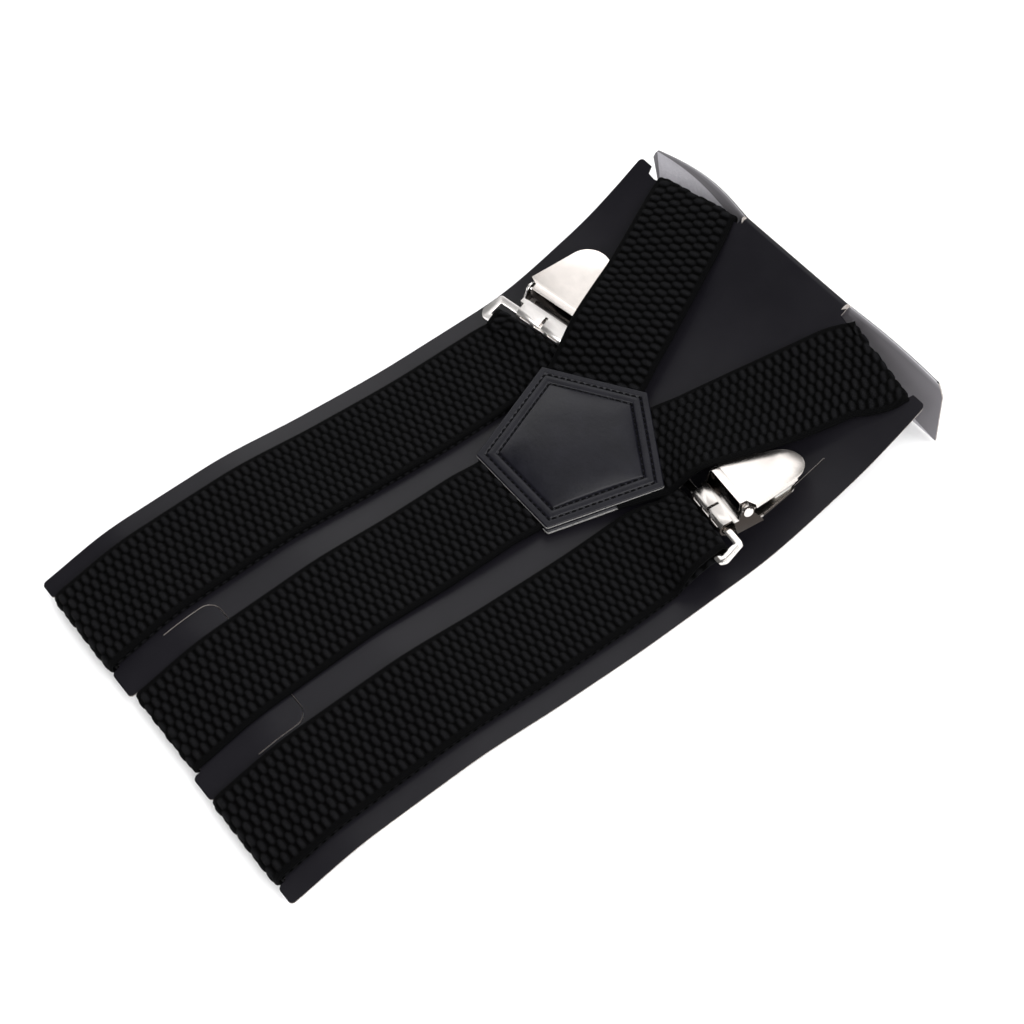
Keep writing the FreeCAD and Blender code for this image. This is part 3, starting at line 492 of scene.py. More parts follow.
def seam_tree():
    """Lays short rounded stitches end to end along a seam line."""
    tree, nodes, given, result = new_tree("seam stitches", [
        ("Stitch Pitch", "Float", 0.0024), ("Stitch Length", "Float", 0.0017),
        ("Thread Width", "Float", 0.00075), ("Material", "Material", None)])
    line = nodes.put("GeometryNodeResampleCurve", mode="LENGTH")
    nodes.join(given.outputs["Geometry"], line.inputs["Curve"])
    nodes.join(given.outputs["Stitch Pitch"], line.inputs["Length"])
    bead = nodes.put("GeometryNodeMeshUVSphere")
    bead.inputs["Segments"].default_value = 10
    bead.inputs["Rings"].default_value = 6
    bead.inputs["Radius"].default_value = 0.5
    shape = nodes.put("ShaderNodeCombineXYZ")
    nodes.join(given.outputs["Stitch Length"], shape.inputs["X"])
    nodes.join(given.outputs["Thread Width"], shape.inputs["Y"])
    nodes.join(nodes.math("MULTIPLY", given.outputs["Thread Width"], 0.9), shape.inputs["Z"])
    along = nodes.put("GeometryNodeInputTangent")
    turn = nodes.put("FunctionNodeAlignRotationToVector", axis="X")
    nodes.join(along.outputs[0], turn.inputs["Vector"])
    place = nodes.put("GeometryNodeInstanceOnPoints")
    nodes.join(line.outputs["Curve"], place.inputs["Points"])
    nodes.join(bead.outputs["Mesh"], place.inputs["Instance"])
    nodes.join(turn.outputs["Rotation"], place.inputs["Rotation"])
    nodes.join(shape.outputs["Vector"], place.inputs["Scale"])
    real = nodes.put("GeometryNodeRealizeInstances")
    smooth = nodes.put("GeometryNodeSetShadeSmooth")
    paint = nodes.put("GeometryNodeSetMaterial")
    nodes.join(place.outputs["Instances"], real.inputs["Geometry"])
    nodes.join(real.outputs["Geometry"], smooth.inputs["Geometry"])
    nodes.join(smooth.outputs["Geometry"], paint.inputs["Geometry"])
    nodes.join(given.outputs["Material"], paint.inputs["Material"])
    nodes.join(paint.outputs["Geometry"], result.inputs["Geometry"])
    return tree


WOVEN_RIBS = woven_ribs_tree()
SEAM = seam_tree()


# ------------------------------------------------------------------ webbing
class WebbingPath:
    """A smooth strip through (centre, across) stations, measured along its length."""

    def __init__(self, stations):
        centres = np.array([s[0] for s in stations], float)
        across = np.array([s[1] for s in stations], float)
        across /= np.linalg.norm(across, axis=1)[:, None]
        h = np.maximum(np.linalg.norm(np.diff(centres, axis=0), axis=1), 1e-4)
        rows = np.hstack([centres, across])
        d = np.diff(rows, axis=0) / h[:, None]
        between = (d[:-1] * h[1:, None] + d[1:] * h[:-1, None]) / (h[:-1] + h[1:])[:, None]
        m = np.vstack([d[:1], between, d[-1:]])
        t = np.linspace(0, 1, 24, endpoint=False)[:, None]
        pieces, marks = [], [0]
        for i in range(len(h)):
            a, b = rows[i], rows[i + 1]
            pieces.append((2*t**3 - 3*t**2 + 1) * a + (t**3 - 2*t**2 + t) * m[i] * h[i]
                          + (3*t**2 - 2*t**3) * b + (t**3 - t**2) * m[i + 1] * h[i])
            marks.append(marks[-1] + len(t))
        self.rows = np.vstack(pieces + [rows[-1:]])
        hops = np.linalg.norm(np.diff(self.rows[:, :3], axis=0), axis=1)
        self.length = np.concatenate([[0], np.cumsum(hops)])
        self.marks = self.length[marks]

    def sample(self, s):
        rows = np.stack([np.interp(s, self.length, self.rows[:, k]) for k in range(6)], axis=1)
        centre, across = rows[:, :3], rows[:, 3:]
        ahead = np.stack([np.interp(s + 0.6, self.length, self.rows[:, k]) for k in range(3)], axis=1)
        behind = np.stack([np.interp(s - 0.6, self.length, self.rows[:, k]) for k in range(3)], axis=1)
        tangent = ahead - behind
        tangent /= np.linalg.norm(tangent, axis=1)[:, None]
        across = across - tangent * np.sum(across * tangent, axis=1)[:, None]
        across /= np.linalg.norm(across, axis=1)[:, None]
        return centre, across, np.cross(across, tangent)


def webbing_piece(name, path, start, end, step, columns, ribbed, from_end=False):
    """One closed strip of webbing between two lengths of a path; its outer face is ribbed.

    With from_end, each thread is measured from the strip's far end, so the ribs keep their size
    where the strip turns towards a slanting fold.
    """
    s = np.linspace(start, end, max(int((end - start) / step), 4) + 1)
    centre, across, normal = path.sample(s)
    half = WEB_WIDTH / 2
    fine = np.linspace(-half, half, columns + 1)
    coarse = np.linspace(-half, half, 9)

    def level(t):
        """Half thickness, rounded off at the selvedges."""
        body = RIBBED_HALF if ribbed else PLAIN_HALF
        return body * np.sqrt(np.clip(1 - (np.maximum(np.abs(t) - (half - 0.55), 0) / 0.62) ** 2, 0.05, 1))

    under = level(coarse) * (PLAIN_HALF / RIBBED_HALF if ribbed else 1)
    centres, sideways, up = centre[:, None], across[:, None], normal[:, None]
    outer = centres + sideways * fine[None, :, None] - up * level(fine)[None, :, None]
    inner = centres + sideways * coarse[None, :, None] + up * under[None, :, None]
    n, a, b = len(s), len(fine), len(coarse)
    points = np.vstack([outer.reshape(-1, 3), inner.reshape(-1, 3)])
    faces = []
    i, j = np.meshgrid(np.arange(n - 1), np.arange(a - 1), indexing="ij")
    q = (i * a + j).ravel()
    faces += np.stack([q, q + 1, q + a + 1, q + a], axis=1).tolist()
    i, j = np.meshgrid(np.arange(n - 1), np.arange(b - 1), indexing="ij")
    q = (n * a + i * b + j).ravel()
    faces += np.stack([q, q + b, q + b + 1, q + 1], axis=1).tolist()
    base = n * a
    for k in range(n - 1):
        faces.append([k * a, (k + 1) * a, base + (k + 1) * b, base + k * b])
        faces.append([k * a + a - 1, base + k * b + b - 1, base + (k + 1) * b + b - 1, (k + 1) * a + a - 1])
    first = list(range(a - 1, -1, -1)) + list(range(base, base + b))
    last = list(range((n - 1) * a, n * a)) + list(range(base + n * b - 1, base + (n - 1) * b - 1, -1))
    faces += [first, last]
    piece = new_object(name, points, faces, [WEBBING if ribbed else WEBBING_PLAIN])
    mesh = piece.data
    if from_end:
        def threads(face, count):
            steps = np.linalg.norm(np.diff(face, axis=0), axis=2)
            return np.vstack([-np.cumsum(steps[::-1], axis=0)[::-1], np.zeros((1, count))]).ravel()
        along = np.concatenate([threads(outer, a), threads(inner, b)])
    else:
        along = np.concatenate([np.repeat(s, a), np.repeat(s, b)])
    float_attribute(mesh, "along", along)
    float_attribute(mesh, "across", np.concatenate([np.tile(fine, n), np.tile(coarse, n)]))
    float_attribute(mesh, "relief", np.full(n * (a + b), 0.4))
    facing = mesh.attributes.new("facing", "FLOAT_VECTOR", "POINT")
    pressed = np.ones(n)
    if name.endswith("back_strap_webbing"):
        pressed = 1 - 0.6 * np.clip((centre[:, 1] - 14) / 6, 0, 1) * np.clip((96 - centre[:, 1]) / 6, 0, 1)
    lift = np.repeat(-normal * pressed[:, None], a, axis=0)
    lift *= np.tile(np.clip((half - np.abs(fine)) / 0.5, 0, 1), n)[:, None]
    facing.data.foreach_set("vector", np.vstack([lift, np.zeros((n * b, 3))]).astype(np.float32).ravel())
    if ribbed:
        modifier = piece.modifiers.new("woven ribs", "NODES")
        modifier.node_group = WOVEN_RIBS
        set_input(modifier, "Material", WEBBING)
        make_plain(piece)
    return piece


X_AXIS = np.array((1.0, 0, 0))


class ClipPlace:
    """Where a clip lies: u across, v away from the strap, w up."""

    def __init__(self, origin, yaw, pitch, roll):
        self.origin = np.array(origin)
        turn = Matrix.Rotation(math.radians(yaw), 3, "Z") @ Matrix.Rotation(math.radians(pitch), 3, "X")
        self.turn = np.array(turn @ Matrix.Rotation(math.radians(roll), 3, "Y"))

    def point(self, u, v, w):
        return self.origin + self.turn @ np.array((u, v, w), float)

    def across(self):
        return self.turn[:, 0]


PLACES = {side: ClipPlace(*place) for side, place in CLIPS.items()}


def lower_wrap(x, lift, steps=8):
    radius = lift + CARD_THICKNESS / 2
    centre = on_card(x, NOTCH_DEPTH, -CARD_THICKNESS / 2)
    tilt = math.atan(card_height(NOTCH_DEPTH)[1])
    angles = [math.pi / 2 + tilt + (math.pi - tilt) * i / steps for i in range(steps + 1)]
    return [(centre + (0, radius * math.cos(a), radius * math.sin(a)), X_AXIS) for a in angles]


def ring_fold(place, steps=8):
    """Over the ring's lower bar, round it and back under."""
    tilt = math.radians(RING_TILT)
    middle, lean = SWIVEL[1] - (SWIVEL[0] + 5.2) * math.sin(tilt), math.tan(tilt)
    spots = [(v, middle + FOLD_RADIUS + (v + 5.2) * lean) for v in (-9, -5.2)]
    for i in range(steps + 1):
        a = math.pi / 2 - math.pi * i / steps
        rise = middle + (FOLD_MIDDLE + 5.2) * lean + FOLD_RADIUS * math.sin(a)
        spots.append((FOLD_MIDDLE + FOLD_RADIUS * math.cos(a), rise))
    spots += [(v, middle - FOLD_RADIUS + (v + 5.2) * lean) for v in (-5.2, -7.2)]
    return [(place.point(0, v, w), place.across()) for v, w in spots]


def card_levels(first, last, pitch=6.0):
    count = int((last - first) / pitch) + 1
    return [first + (last - first) * i / count for i in range(count + 1)]


def adjuster_path(x):
    radius = 0.65 + WEB_THICKNESS / 2
    stations = [((x, ADJUSTER_Y - 3.0, BAR_MIDDLE + radius), X_AXIS)]
    for i in range(9):
        a = math.pi / 2 - math.pi * i / 8
        y = ADJUSTER_Y + 1.0 + radius * math.cos(a)
        stations.append(((x, y, BAR_MIDDLE + radius * math.sin(a)), X_AXIS))
    return stations + [((x, ADJUSTER_Y - 4.0, LOOP_LOW), X_AXIS)]


def drift(x0, x1, y):
    """X of a back strap: straight past the adjuster's travel, then leaning to its notch."""
    return x0 + (x1 - x0) * max(0.0, y - 94) / 164


def back_path(x0, x1):
    low = [(12, ADJUSTER_LAYER - 0.1), (20, ADJUSTER_LAYER), (94, ADJUSTER_LAYER), (118, FLOOR_LAYER + 0.4),
           (132, FLOOR_LAYER), (168, FLOOR_LAYER)]
    stations = [((drift(x0, x1, y), y, z), X_AXIS) for y, z in low]
    for y in card_levels(184, 256):
        stations.append((on_card(drift(x0, x1, y), y, -CARD_THICKNESS - INNER_LAYER - 0.1), X_AXIS))
    return stations


def notch_wrap(side, steps=8):
    data = SHOULDERS[side]
    sign = data["sign"]
    (xi, yi), (xo, yo) = TOP_NOTCH_IN, TOP_NOTCH_OUT

    def edge(x):
        return on_card(sign * x, yi + (yo - yi) * (x - xi) / (xo - xi), -CARD_THICKNESS / 2)

    inner, outer = edge(data["fold_x"] - 15), edge(data["fold_x"] + 15)
    across = (outer - inner) * sign
    across /= np.linalg.norm(across)
    centre = (inner + outer) / 2
    up = np.array((0, -card_height(centre[1])[1], 1))
    up /= np.linalg.norm(up)
    out = np.cross(up, across)
    radius = INNER_LAYER + CARD_THICKNESS / 2 + 0.15
    angles = [math.pi * (1 - i / steps) for i in range(steps + 1)]
    return [(centre + up * (radius * math.cos(a)) + out * (radius * math.sin(a)), across) for a in angles]


def edge_height(knots, y):
    inside = patch_top(y) - UNDER_LEATHER
    leave = knots[0][0]
    if y <= leave:
        return inside
    ys = [leave] + [k[0] for k in knots[1:]]
    zs = [patch_top(leave) - UNDER_LEATHER] + [k[1] for k in knots[1:]]
    return float(np.interp(y, ys, zs))


def shoulder_path(side):
    data = SHOULDERS[side]
    sign, lean = data["sign"], math.atan(data["lean"])
    reach = WEB_WIDTH / 2 * math.sin(lean)
    stations = []
    for y in (250, 240, 230, 220, 212, 206, 201, 197, 193, 189, 185, 180, 172):
        outer, inner = edge_height(data["outer"], y - reach), edge_height(data["inner"], y + reach)
        x = sign * (data["x"] + data["lean"] * (y - data["at"]))
        across = np.array((math.cos(lean), -sign * math.sin(lean), sign * (outer - inner) / WEB_WIDTH))
        stations.append(((x, y, (outer + inner) / 2), across))
    return stations


def legs_of(legs):
    """One smooth path through named legs, and the length at which each leg ends."""
    stations, ends = [], {}
    for name, part in legs:
        stations += [(np.array(c, float), np.array(a, float)) for c, a in part]
        ends[name] = len(stations) - 1
    path = WebbingPath(stations)
    spans, start = {}, 0.0
    for name, index in ends.items():
        spans[name] = (start, path.marks[index])
        start = path.marks[index]
    return path, spans


def side_strap(side):
    place, sign = PLACES[side], SHOULDERS[side]["sign"]
    x, end = sign * STRAP_X, FRONT_END[side]
    up_card = [(on_card(x, y, INNER_LAYER), X_AXIS) for y in card_levels(9, end)]
    down_card = [(on_card(x, y, OUTER_LAYER), X_AXIS) for y in card_levels(end, 9, -6.0)]
    fold, wrap = ring_fold(place), notch_wrap(side)
    return_end = [((x, y, z), X_AXIS) for y, z in ((18, LOOP_LOW), (10, LOOP_LOW - 0.2))]
    inner_wrap, outer_wrap = list(reversed(lower_wrap(x, INNER_LAYER))), lower_wrap(x, OUTER_LAYER)
    path, spans = legs_of([
        ("adjuster_loop", adjuster_path(x)),
        ("return_end", return_end + inner_wrap[:1]),
        ("return_strap", inner_wrap[1:] + up_card + list(reversed(fold))[:3]),
        ("front_strap", list(reversed(fold))[3:] + down_card + outer_wrap),
        ("back_strap", back_path(x, sign * SHOULDERS[side]["fold_x"]) + wrap[:5]),
        ("shoulder_strap", wrap[5:] + shoulder_path(side)),
    ])
    finish = {"adjuster_loop": (0.7, 40, True), "return_end": (0.9, 30, False),
              "return_strap": (0.9, 30, False), "front_strap": (0.36, 90, True),
              "back_strap": (0.62, 56, True), "shoulder_strap": (0.36, 90, True)}
    for leg, (start, stop) in spans.items():
        step, columns, ribbed = finish[leg]
        piece = webbing_piece(f"{side}_{leg}_webbing", path, start, stop, step, columns, ribbed,
                              from_end=leg in ("front_strap", "shoulder_strap"))
        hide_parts(f"{side}_{leg}")
        if leg == "return_end":
            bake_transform(piece)
        else:
            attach(piece, f"{side}_adjuster" if leg == "adjuster_loop" else "card_and_straps")


def rear_strap():
    inside = [((PATCH_CENTRE_X, y, patch_top(y) - UNDER_LEATHER), X_AXIS) for y in (162, 150, 141)]
    drape = [(130, 2.35), (120, 1.95)]
    drape += [(y, 1.5 * max(0.0, (y - 50) / 60) ** 1.5) for y in card_levels(110, 9, -6.0)]
    front = [(on_card(REAR_X - 1.6 * y / 140, y, INNER_LAYER + lift), X_AXIS) for y, lift in drape]
    low = [(12, 2.4), (26, 1.2), (45, FLOOR_LAYER), (80, FLOOR_LAYER), (120, FLOOR_LAYER), (160, FLOOR_LAYER),
           (185, FLOOR_LAYER), (197, FLOOR_LAYER + 0.1), (206, 2.5)]
    behind = [((REAR_X * max(0.0, 1 - y / 60), y, z), X_AXIS) for y, z in low]
    fold = [(point, X_AXIS) for point, _ in ring_fold(PLACES["back"])]
    path, spans = legs_of([
        ("rear_strap_front_run", inside + front + lower_wrap(REAR_X, INNER_LAYER)),
        ("rear_strap_back_run", behind + fold + [((0, 206, 4.15), X_AXIS)]),
    ])
    finish = {"rear_strap_front_run": (0.36, 90), "rear_strap_back_run": (0.62, 56)}
    for leg, (step, columns) in finish.items():
        piece = webbing_piece(leg + "_webbing", path, *spans[leg], step, columns, True,
                              from_end=leg == "rear_strap_front_run")
        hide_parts(leg)
        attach(piece, "card_and_straps")


# ------------------------------------------------------------------ card
def merged_copy(node, name):
    """A copy of a CAD node's mesh with its loose triangles joined."""
    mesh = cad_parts[node].data.copy()
    mesh.name = name
    edit = bmesh.new()
    edit.from_mesh(mesh)
    bmesh.ops.remove_doubles(edit, verts=edit.verts, dist=1e-6)
    edit.to_mesh(mesh)
    edit.free()
    mesh.materials.clear()
    piece = bpy.data.objects.new(name, mesh)
    bpy.context.scene.collection.objects.link(piece)
    return piece


def bow_flap(edit):
    """Cuts the flap's free wings into strips and bows their top edges outwards."""
    for x in TORN:
        everything = edit.faces[:] + edit.edges[:] + edit.verts[:]
        bmesh.ops.bisect_plane(edit, geom=everything, plane_co=(x / 1000, 0, 0), plane_no=(1, 0, 0))
    for side in (-1, 1):
        for x in np.arange(28.5, 72.0, 2.5):
            wing = [f for f in edit.faces if f.calc_center_median().y * 1000 + Y_MIDDLE > WING_FROM]
            parts = wing + list({e for f in wing for e in f.edges}) + list({v for f in wing for v in f.verts})
            bmesh.ops.bisect_plane(edit, geom=parts, plane_co=(side * x / 1000, 0, 0), plane_no=(1, 0, 0))
    for vert in edit.verts:
        x, y, z = vert.co.x * 1000, vert.co.y * 1000 + Y_MIDDLE, vert.co.z * 1000
        if abs(x) > 25.0 and y > WING_FROM:
            reach, high = (abs(x) - 25.0) / 47.4, (z / 35) ** 1.4
            bow, (out, back, down) = (FLAP_BOW[0], FLAP_DROOP) if x < 0 else (FLAP_BOW[1], (0, 0, 0))
            vert.co.x -= out * reach ** 2 * high / 1000
            vert.co.y += (bow * math.sin(math.pi * reach) - back * reach ** 2) * high / 1000
            vert.co.z -= down * reach ** 2 * high / 1000


def card_sheet():
    """The folded card: coated outside, plain inside, raw where it is cut."""
    piece = merged_copy("display_card", "display_card_board")
    mesh = piece.data
    for material in (CARD_FACE, CARD_BACK, CARD_EDGE, CARD_WING_PAINTED_SHADE):
        mesh.materials.append(material)
    edit = bmesh.new()
    edit.from_mesh(mesh)
    for face in edit.faces:
        centre = face.calc_center_median()
        y = centre.y * 1000 + Y_MIDDLE
        if y < FOLD_FROM:
            slope = card_height(y)[1]
            up = Vector((0, -slope, 1)).normalized()
        else:
            lean = math.radians(5.6)
            flat = Vector((0, math.cos(lean), math.sin(lean)))
            rising = Vector((0, -card_height(266)[1], 1)).normalized()
            up = flat if centre.z * 1000 < 33.0 else (flat + rising).normalized()
        facing = face.normal.dot(up)
        # Index 3 is the wings' plain back, which carries the painted shade.
        inside = 3 if y > FOLD_FROM and centre.z * 1000 > 18 else 1
        face.material_index = 0 if facing > 0.4 else (inside if facing < -0.4 else 2)
        face.smooth = True
    bow_flap(edit)
    for face in edit.faces:
        spot = face.calc_center_median() * 1000
        if spot.z > 33.4 and (-25.1 < spot.x < TORN[0] or TORN[1] < spot.x < 28.1):
            face.material_index = 2
    for edge in edit.edges:
        if len(edge.link_faces) == 2:
            a, b = edge.link_faces
            gentle = a.normal.angle(b.normal, 0) < math.radians(28)
            edge.smooth = gentle and a.material_index == b.material_index
    edit.to_mesh(mesh)
    edit.free()
    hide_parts("display_card")
    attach(piece, "card_and_straps")


# ------------------------------------------------------------------ patch
def patch_line(inset, corner_radius=1.2, per_corner=8, spacing=0.5):
    """Closed outline of the patch, moved in by inset, as points on the card's plan."""
    corners = [np.array(c, float) for c in PATCH_CORNERS]
    moved = []
    for i, corner in enumerate(corners):
        a, b = corners[i - 1] - corner, corners[(i + 1) % 5] - corner
        a, b = a / np.linalg.norm(a), b / np.linalg.norm(b)
        half = math.acos(float(np.dot(a, b))) / 2
        moved.append((corner + (a + b) / np.linalg.norm(a + b) * inset / math.sin(half), a, b, half))
    line = []
    for i, (corner, a, b, half) in enumerate(moved):
        cut = corner_radius / math.tan(half)
        start, end = corner + a * cut, corner + b * cut
        for k in range(per_corner + 1):
            t = k / per_corner
            line.append((1 - t) ** 2 * start + 2 * t * (1 - t) * corner + t * t * end)
        following, fa, _, fhalf = moved[(i + 1) % 5]
        finish = following + fa * (corner_radius / math.tan(fhalf))
        count = max(int(np.linalg.norm(finish - end) / spacing), 2)
        line += [end + (finish - end) * k / count for k in range(1, count)]
    return np.array(line) + (PATCH_CENTRE_X, 0)


def edge_distances(points):
    """Distance from points in the patch to each of its five sides."""
    corners = np.array(PATCH_CORNERS) + (PATCH_CENTRE_X, 0)
    distances = []
    for i in range(5):
        a, b = corners[i], corners[(i + 1) % 5]
        side = (b - a) / np.linalg.norm(b - a)
        distances.append(np.abs((points - a) @ np.array((-side[1], side[0]))))
    return np.array(distances)


def edge_places(points):
    """How far along its nearest side each point lies."""
    corners = np.array(PATCH_CORNERS) + (PATCH_CENTRE_X, 0)
    nearest = edge_distances(points).argmin(axis=0)
    first, second = corners[nearest], corners[(nearest + 1) % 5]
    side = (second - first) / np.linalg.norm(second - first, axis=1)[:, None]
    return np.sum((points - first) * side, axis=1)


def leather_rise(points):
    """Height of the front leather above its plane: seams pulled in, centre puffed up."""
    sides = edge_distances(points)
    d = sides.min(axis=0)
    rise = -0.35 * np.clip(1 - d / 0.5, 0, 1) ** 2
    pucker = 0.1 * np.cos(edge_places(points) * 2 * math.pi / STITCH_PITCH)
    rise -= (0.5 + pucker) * np.exp(-((d - OUTER_SEAM) / 0.36) ** 2)
    rise -= (0.6 + pucker) * np.exp(-((d - INNER_SEAM) / 0.40) ** 2)
    rise += 0.16 * np.exp(-((d - 4.4) / 0.9) ** 2)
    within = np.clip(sides - INNER_SEAM, 0, None)
    lift = np.prod(1 - np.exp(-within / 8.0), axis=0)
    rise += 4.1 * lift ** 0.75
    x, y = points[:, 0] - PATCH_CENTRE_X, points[:, 1]
    rise += 0.07 * np.sin(x * 0.31 + 1.2) * np.sin(y * 0.27) * np.clip(within.min(axis=0) / 5, 0, 1)
    return rise


def leather_sheet(name, inset, top, thickness, rise, shift=0.0, lift=0.0, rings=150):
    """A closed leather pentagon: shaped top face, raw edge, flat underside."""
    line = patch_line(inset)
    centre = np.array((PATCH_CENTRE_X, 170.0))
    share = 1 - np.linspace(0, 1, rings + 1) ** 1.15
    share = share[:-1]
    plan = np.vstack([centre + (line - centre) * s for s in share] + [centre[None]])
    count = len(line)
    z = patch_top(plan[:, 1]) + top
    if rise is not None:
        z = z + rise(plan)
    move = np.array((shift, 0))
    low_plan = np.vstack([line, centre[None]])
    low_z = patch_top(low_plan[:, 1]) + top - thickness
    z = z + lift * np.clip((plan[:, 0] - 10) / 20, 0, 1) ** 2
    low_z = low_z + lift * np.clip((low_plan[:, 0] - 10) / 20, 0, 1) ** 2
    upper = np.column_stack([plan + move, z])
    lower = np.column_stack([low_plan + move, low_z])
    faces, edge_faces = [], []
    for r in range(rings - 1):
        a = np.arange(count)
        b = (a + 1) % count
        ring, next_ring = r * count, (r + 1) * count
        faces += np.stack([ring + a, ring + b, next_ring + b, next_ring + a], axis=1).tolist()
    hub = rings * count
    base = hub + 1
    faces += [[(rings - 1) * count + a, (rings - 1) * count + (a + 1) % count, hub] for a in range(count)]
    faces += [[base + count, base + (a + 1) % count, base + a] for a in range(count)]
    edge_faces = [[a, base + a, base + (a + 1) % count, (a + 1) % count] for a in range(count)]
    piece = new_object(name, np.vstack([upper, lower]), faces + edge_faces, [LEATHER_FACE, LEATHER_EDGE])
    mesh = piece.data
    index = [0] * len(faces) + [1] * len(edge_faces)
    mesh.polygons.foreach_set("material_index", index)
    mesh.polygons.foreach_set("use_smooth", [True] * len(faces) + [False] * len(edge_faces))
    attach(piece, "card_and_straps")
    return piece


def seam(inset):
    """A closed seam line lying in the leather."""
    line = patch_line(inset, corner_radius=1.0, per_corner=4, spacing=1.0)
    z = patch_top(line[:, 1]) + leather_rise(line) + 0.22
    points = to_frame(np.column_stack([line, z]))
    curve = bpy.data.curves.new("seam line", "CURVE")
    curve.dimensions = "3D"
    spline = curve.splines.new("POLY")
    spline.points.add(len(points) - 1)
    for point, place in zip(spline.points, points):
        point.co = (*place, 1)
    spline.use_cyclic_u = True
    return curve


def patch_stitches():
    """Two sewn rows round the patch, each laid by the seam tree and kept as a plain mesh."""
    for number, inset in enumerate((OUTER_SEAM, INNER_SEAM)):
        row = bpy.data.objects.new(f"patch_seam_{number}", seam(inset))
        bpy.context.scene.collection.objects.link(row)
        modifier = row.modifiers.new("seam stitches", "NODES")
        modifier.node_group = SEAM
        set_input(modifier, "Stitch Pitch", STITCH_PITCH / 1000)
        set_input(modifier, "Stitch Length", 0.0017)
        set_input(modifier, "Thread Width", 0.00075)
        set_input(modifier, "Material", THREAD)
        graph = bpy.context.evaluated_depsgraph_get()
        mesh = bpy.data.meshes.new_from_object(row.evaluated_get(graph))
        bpy.data.objects.remove(row)
        piece = bpy.data.objects.new(f"patch_seam_{number}", mesh)
        bpy.context.scene.collection.objects.link(piece)
        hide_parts("patch_stitching")
        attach(piece, "card_and_straps")


def patch():
    front = leather_sheet("patch_front", 0.0, 0.0, LEATHER, leather_rise)
    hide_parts("patch_front_leather", "patch_padding")
    back = leather_sheet("patch_back", 0.0, -WEB_THICKNESS - 0.24 - LEATHER, LEATHER, None,
                         shift=0.5, lift=0.5, rings=12)
    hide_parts("patch_back_leather")
    patch_stitches()


# ------------------------------------------------------------------ metal parts
def polished_copy(node, body, material, bevel=0.00012):
    """A CAD part with its coplanar triangles joined and its sharp edges softened."""
    piece = merged_copy(node, node + "_metal")
    mesh = piece.data
    mesh.materials.append(material)
    edit = bmesh.new()
    edit.from_mesh(mesh)
    bmesh.ops.dissolve_limit(edit, angle_limit=math.radians(1.0), verts=edit.verts, edges=edit.edges)
    edit.to_mesh(mesh)
    edit.free()
    mesh.polygons.foreach_set("use_smooth", [True] * len(mesh.polygons))
    soften = piece.modifiers.new("soft edges", "BEVEL")
    soften.width = bevel
    soften.segments = 2
    soften.limit_method = "ANGLE"
    soften.angle_limit = math.radians(35)
    soften.harden_normals = True
    make_plain(piece)
    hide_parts(node)
    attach(piece, body)
    return piece


def metal_parts():
    """Clips and adjusters; the cams and the clips' cheeks take a near-black nickel as a painted dark
    reflection, and the right plate and the jaws a dimmer nickel as a painted dim reflection.
    """
    for side in ("left", "right", "back"):
        # The right plate and every jaw take the dimmer nickel as a painted dim reflection.
        plate = NICKEL_PAINTED_DIM if side == "right" else NICKEL_BRUSHED
        ring = NICKEL if side == "right" else NICKEL_BRUSHED
        polished_copy(side + "_clip_ring", "card_and_straps", ring)
        body = polished_copy(side + "_clip_body", side + "_clip", plate, 0.00008)
        polished_copy(side + "_clip_pin", side + "_clip", NICKEL)
        polished_copy(side + "_clip_jaw", side + "_jaw", NICKEL_PAINTED_DIM, 0.00008)
        lever = polished_copy(side + "_clip_lever", side + "_lever", NICKEL_LEVER, 0.00016)
        for piece in (lever, body):
            piece.data.materials.append(NICKEL_PAINTED_DARK)
            for face in piece.data.polygons:
                sideways, ahead, up = PLACES[side].turn.T @ np.array(face.normal)
                # Cam faces turned back and down, and the broad cheeks, are painted dark: painted dark
                # reflection.
                cam = piece is lever and ahead < -0.6 and up < 0.7
                cheek = piece is body and abs(sideways) > 0.8 and face.area > 4e-6
                face.material_index = 1 if cam or cheek else 0
        polished_copy(side + "_clip_lower_pad", side + "_clip", GRIP, 0.00006)
        polished_copy(side + "_clip_upper_pad", side + "_jaw", GRIP, 0.00006)
    for side in ("left", "right"):
        polished_copy(side + "_adjuster", side + "_adjuster", NICKEL)


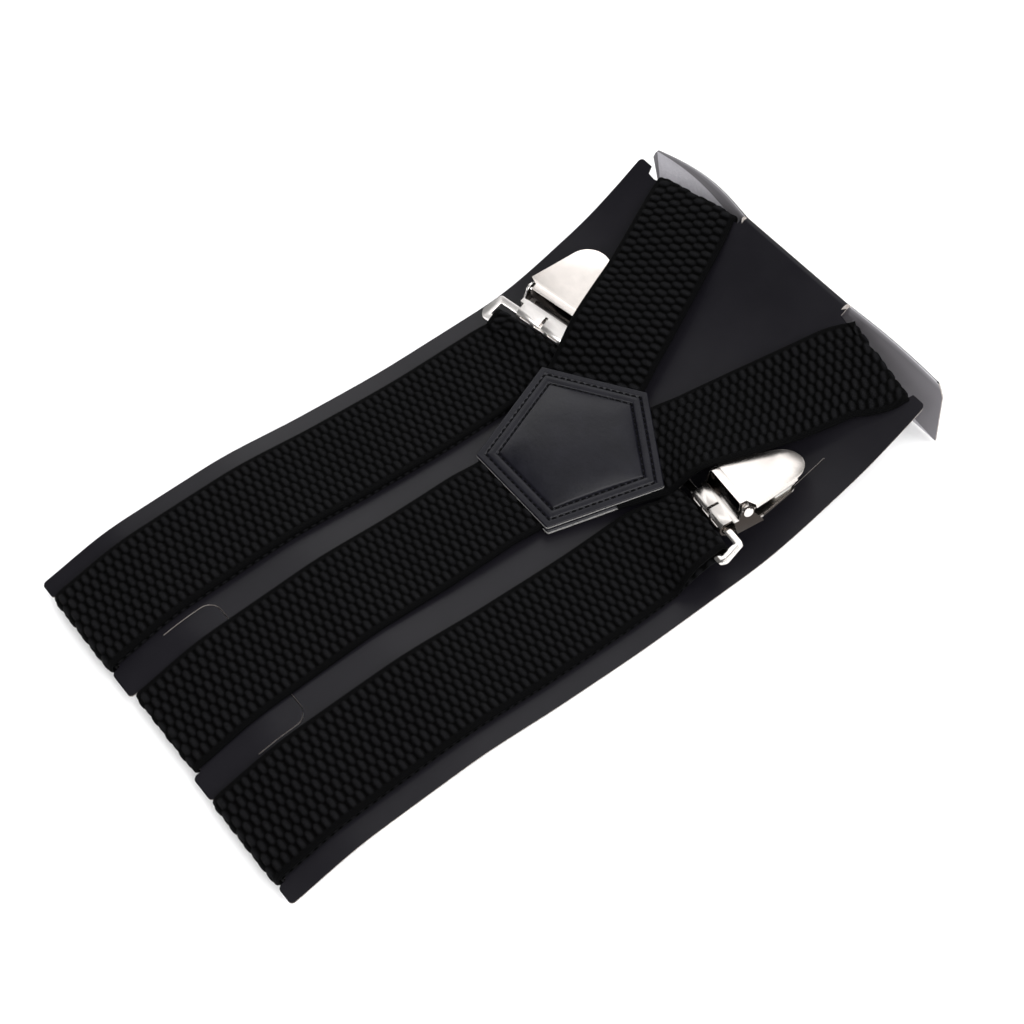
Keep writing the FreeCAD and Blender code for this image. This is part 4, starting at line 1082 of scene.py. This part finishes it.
# ------------------------------------------------------------------ stage
def stage():
    """Pale floor, soft boxes and the camera."""
    material, nodes, shader = new_material("pale floor", (0.93, 0.93, 0.93), 0.9)
    cloud = noise(nodes, 3, 2.0)
    paint(nodes, shader, cloud, [(0.3, (0.93, 0.93, 0.93)), (0.7, (0.95, 0.95, 0.95))])
    mesh = bpy.data.meshes.new("floor")
    mesh.from_pydata([(x, y, FLOOR) for x, y in ((-4, -4), (4, -4), (4, 4), (-4, 4))], [], [(0, 1, 2, 3)])
    mesh.materials.append(material)
    floor = bpy.data.objects.new("floor", mesh)
    bpy.context.scene.collection.objects.link(floor)

    world = bpy.data.worlds.new("soft studio")
    world.use_nodes = True
    world.node_tree.nodes["Background"].inputs["Color"].default_value = (1, 1, 1, 1)
    world.node_tree.nodes["Background"].inputs["Strength"].default_value = 0.12
    bpy.context.scene.world = world

    def softbox(name, place, target, size, power):
        light = bpy.data.lights.new(name, "AREA")
        light.shape = "RECTANGLE"
        light.size, light.size_y = size
        light.energy = power
        lamp = bpy.data.objects.new(name, light)
        lamp.location = place
        lamp.rotation_euler = (Vector(target) - Vector(place)).to_track_quat("-Z", "Y").to_euler()
        bpy.context.scene.collection.objects.link(lamp)

    softbox("back softbox", (-0.62, 0.72, 1.15), (0, 0, 0), (1.6, 1.1), 6.6)
    softbox("overhead softbox", (0.3, 0.3, 1.35), (0, 0, 0), (0.5, 0.5), 3.2)
    softbox("top softbox", (-0.22, -0.1, 1.22), (0, 0, 0), (0.42, 0.42), 0.8)
    softbox("left softbox", (-1.05, 0.5, 0.5), (0, 0, 0), (1.3, 1.0), 6.5)
    softbox("right softbox", (1.0, -0.25, 1.25), (0, 0, 0), (1.0, 1.0), 18)
    softbox("right back softbox", (0.95, 0.9, 1.1), (0, 0, 0), (0.9, 0.9), 12)
    softbox("front softbox", (0.35, -1.15, 1.2), (0, 0, 0), (0.9, 0.9), 12)

    camera = bpy.data.cameras.new("camera")
    camera.lens, camera.sensor_width = 68.73, 36.0
    camera.clip_start, camera.clip_end = 0.01, 20
    eye = bpy.data.objects.new("camera", camera)
    right, up = Vector((0.62162, 0.78290, -0.02555)), Vector((-0.64857, 0.53270, 0.54368))
    back = Vector((0.43926, -0.32139, 0.83890))
    place = to_frame((294.569, -73.746, 558.148))
    eye.matrix_world = Matrix(((right.x, up.x, back.x, place[0]), (right.y, up.y, back.y, place[1]),
                               (right.z, up.z, back.z, place[2]), (0, 0, 0, 1)))
    bpy.context.scene.collection.objects.link(eye)
    bpy.context.scene.camera = eye
    bpy.context.scene.view_settings.view_transform = "Standard"


card_sheet()
side_strap("left")
side_strap("right")
rear_strap()
patch()
metal_parts()
stage()
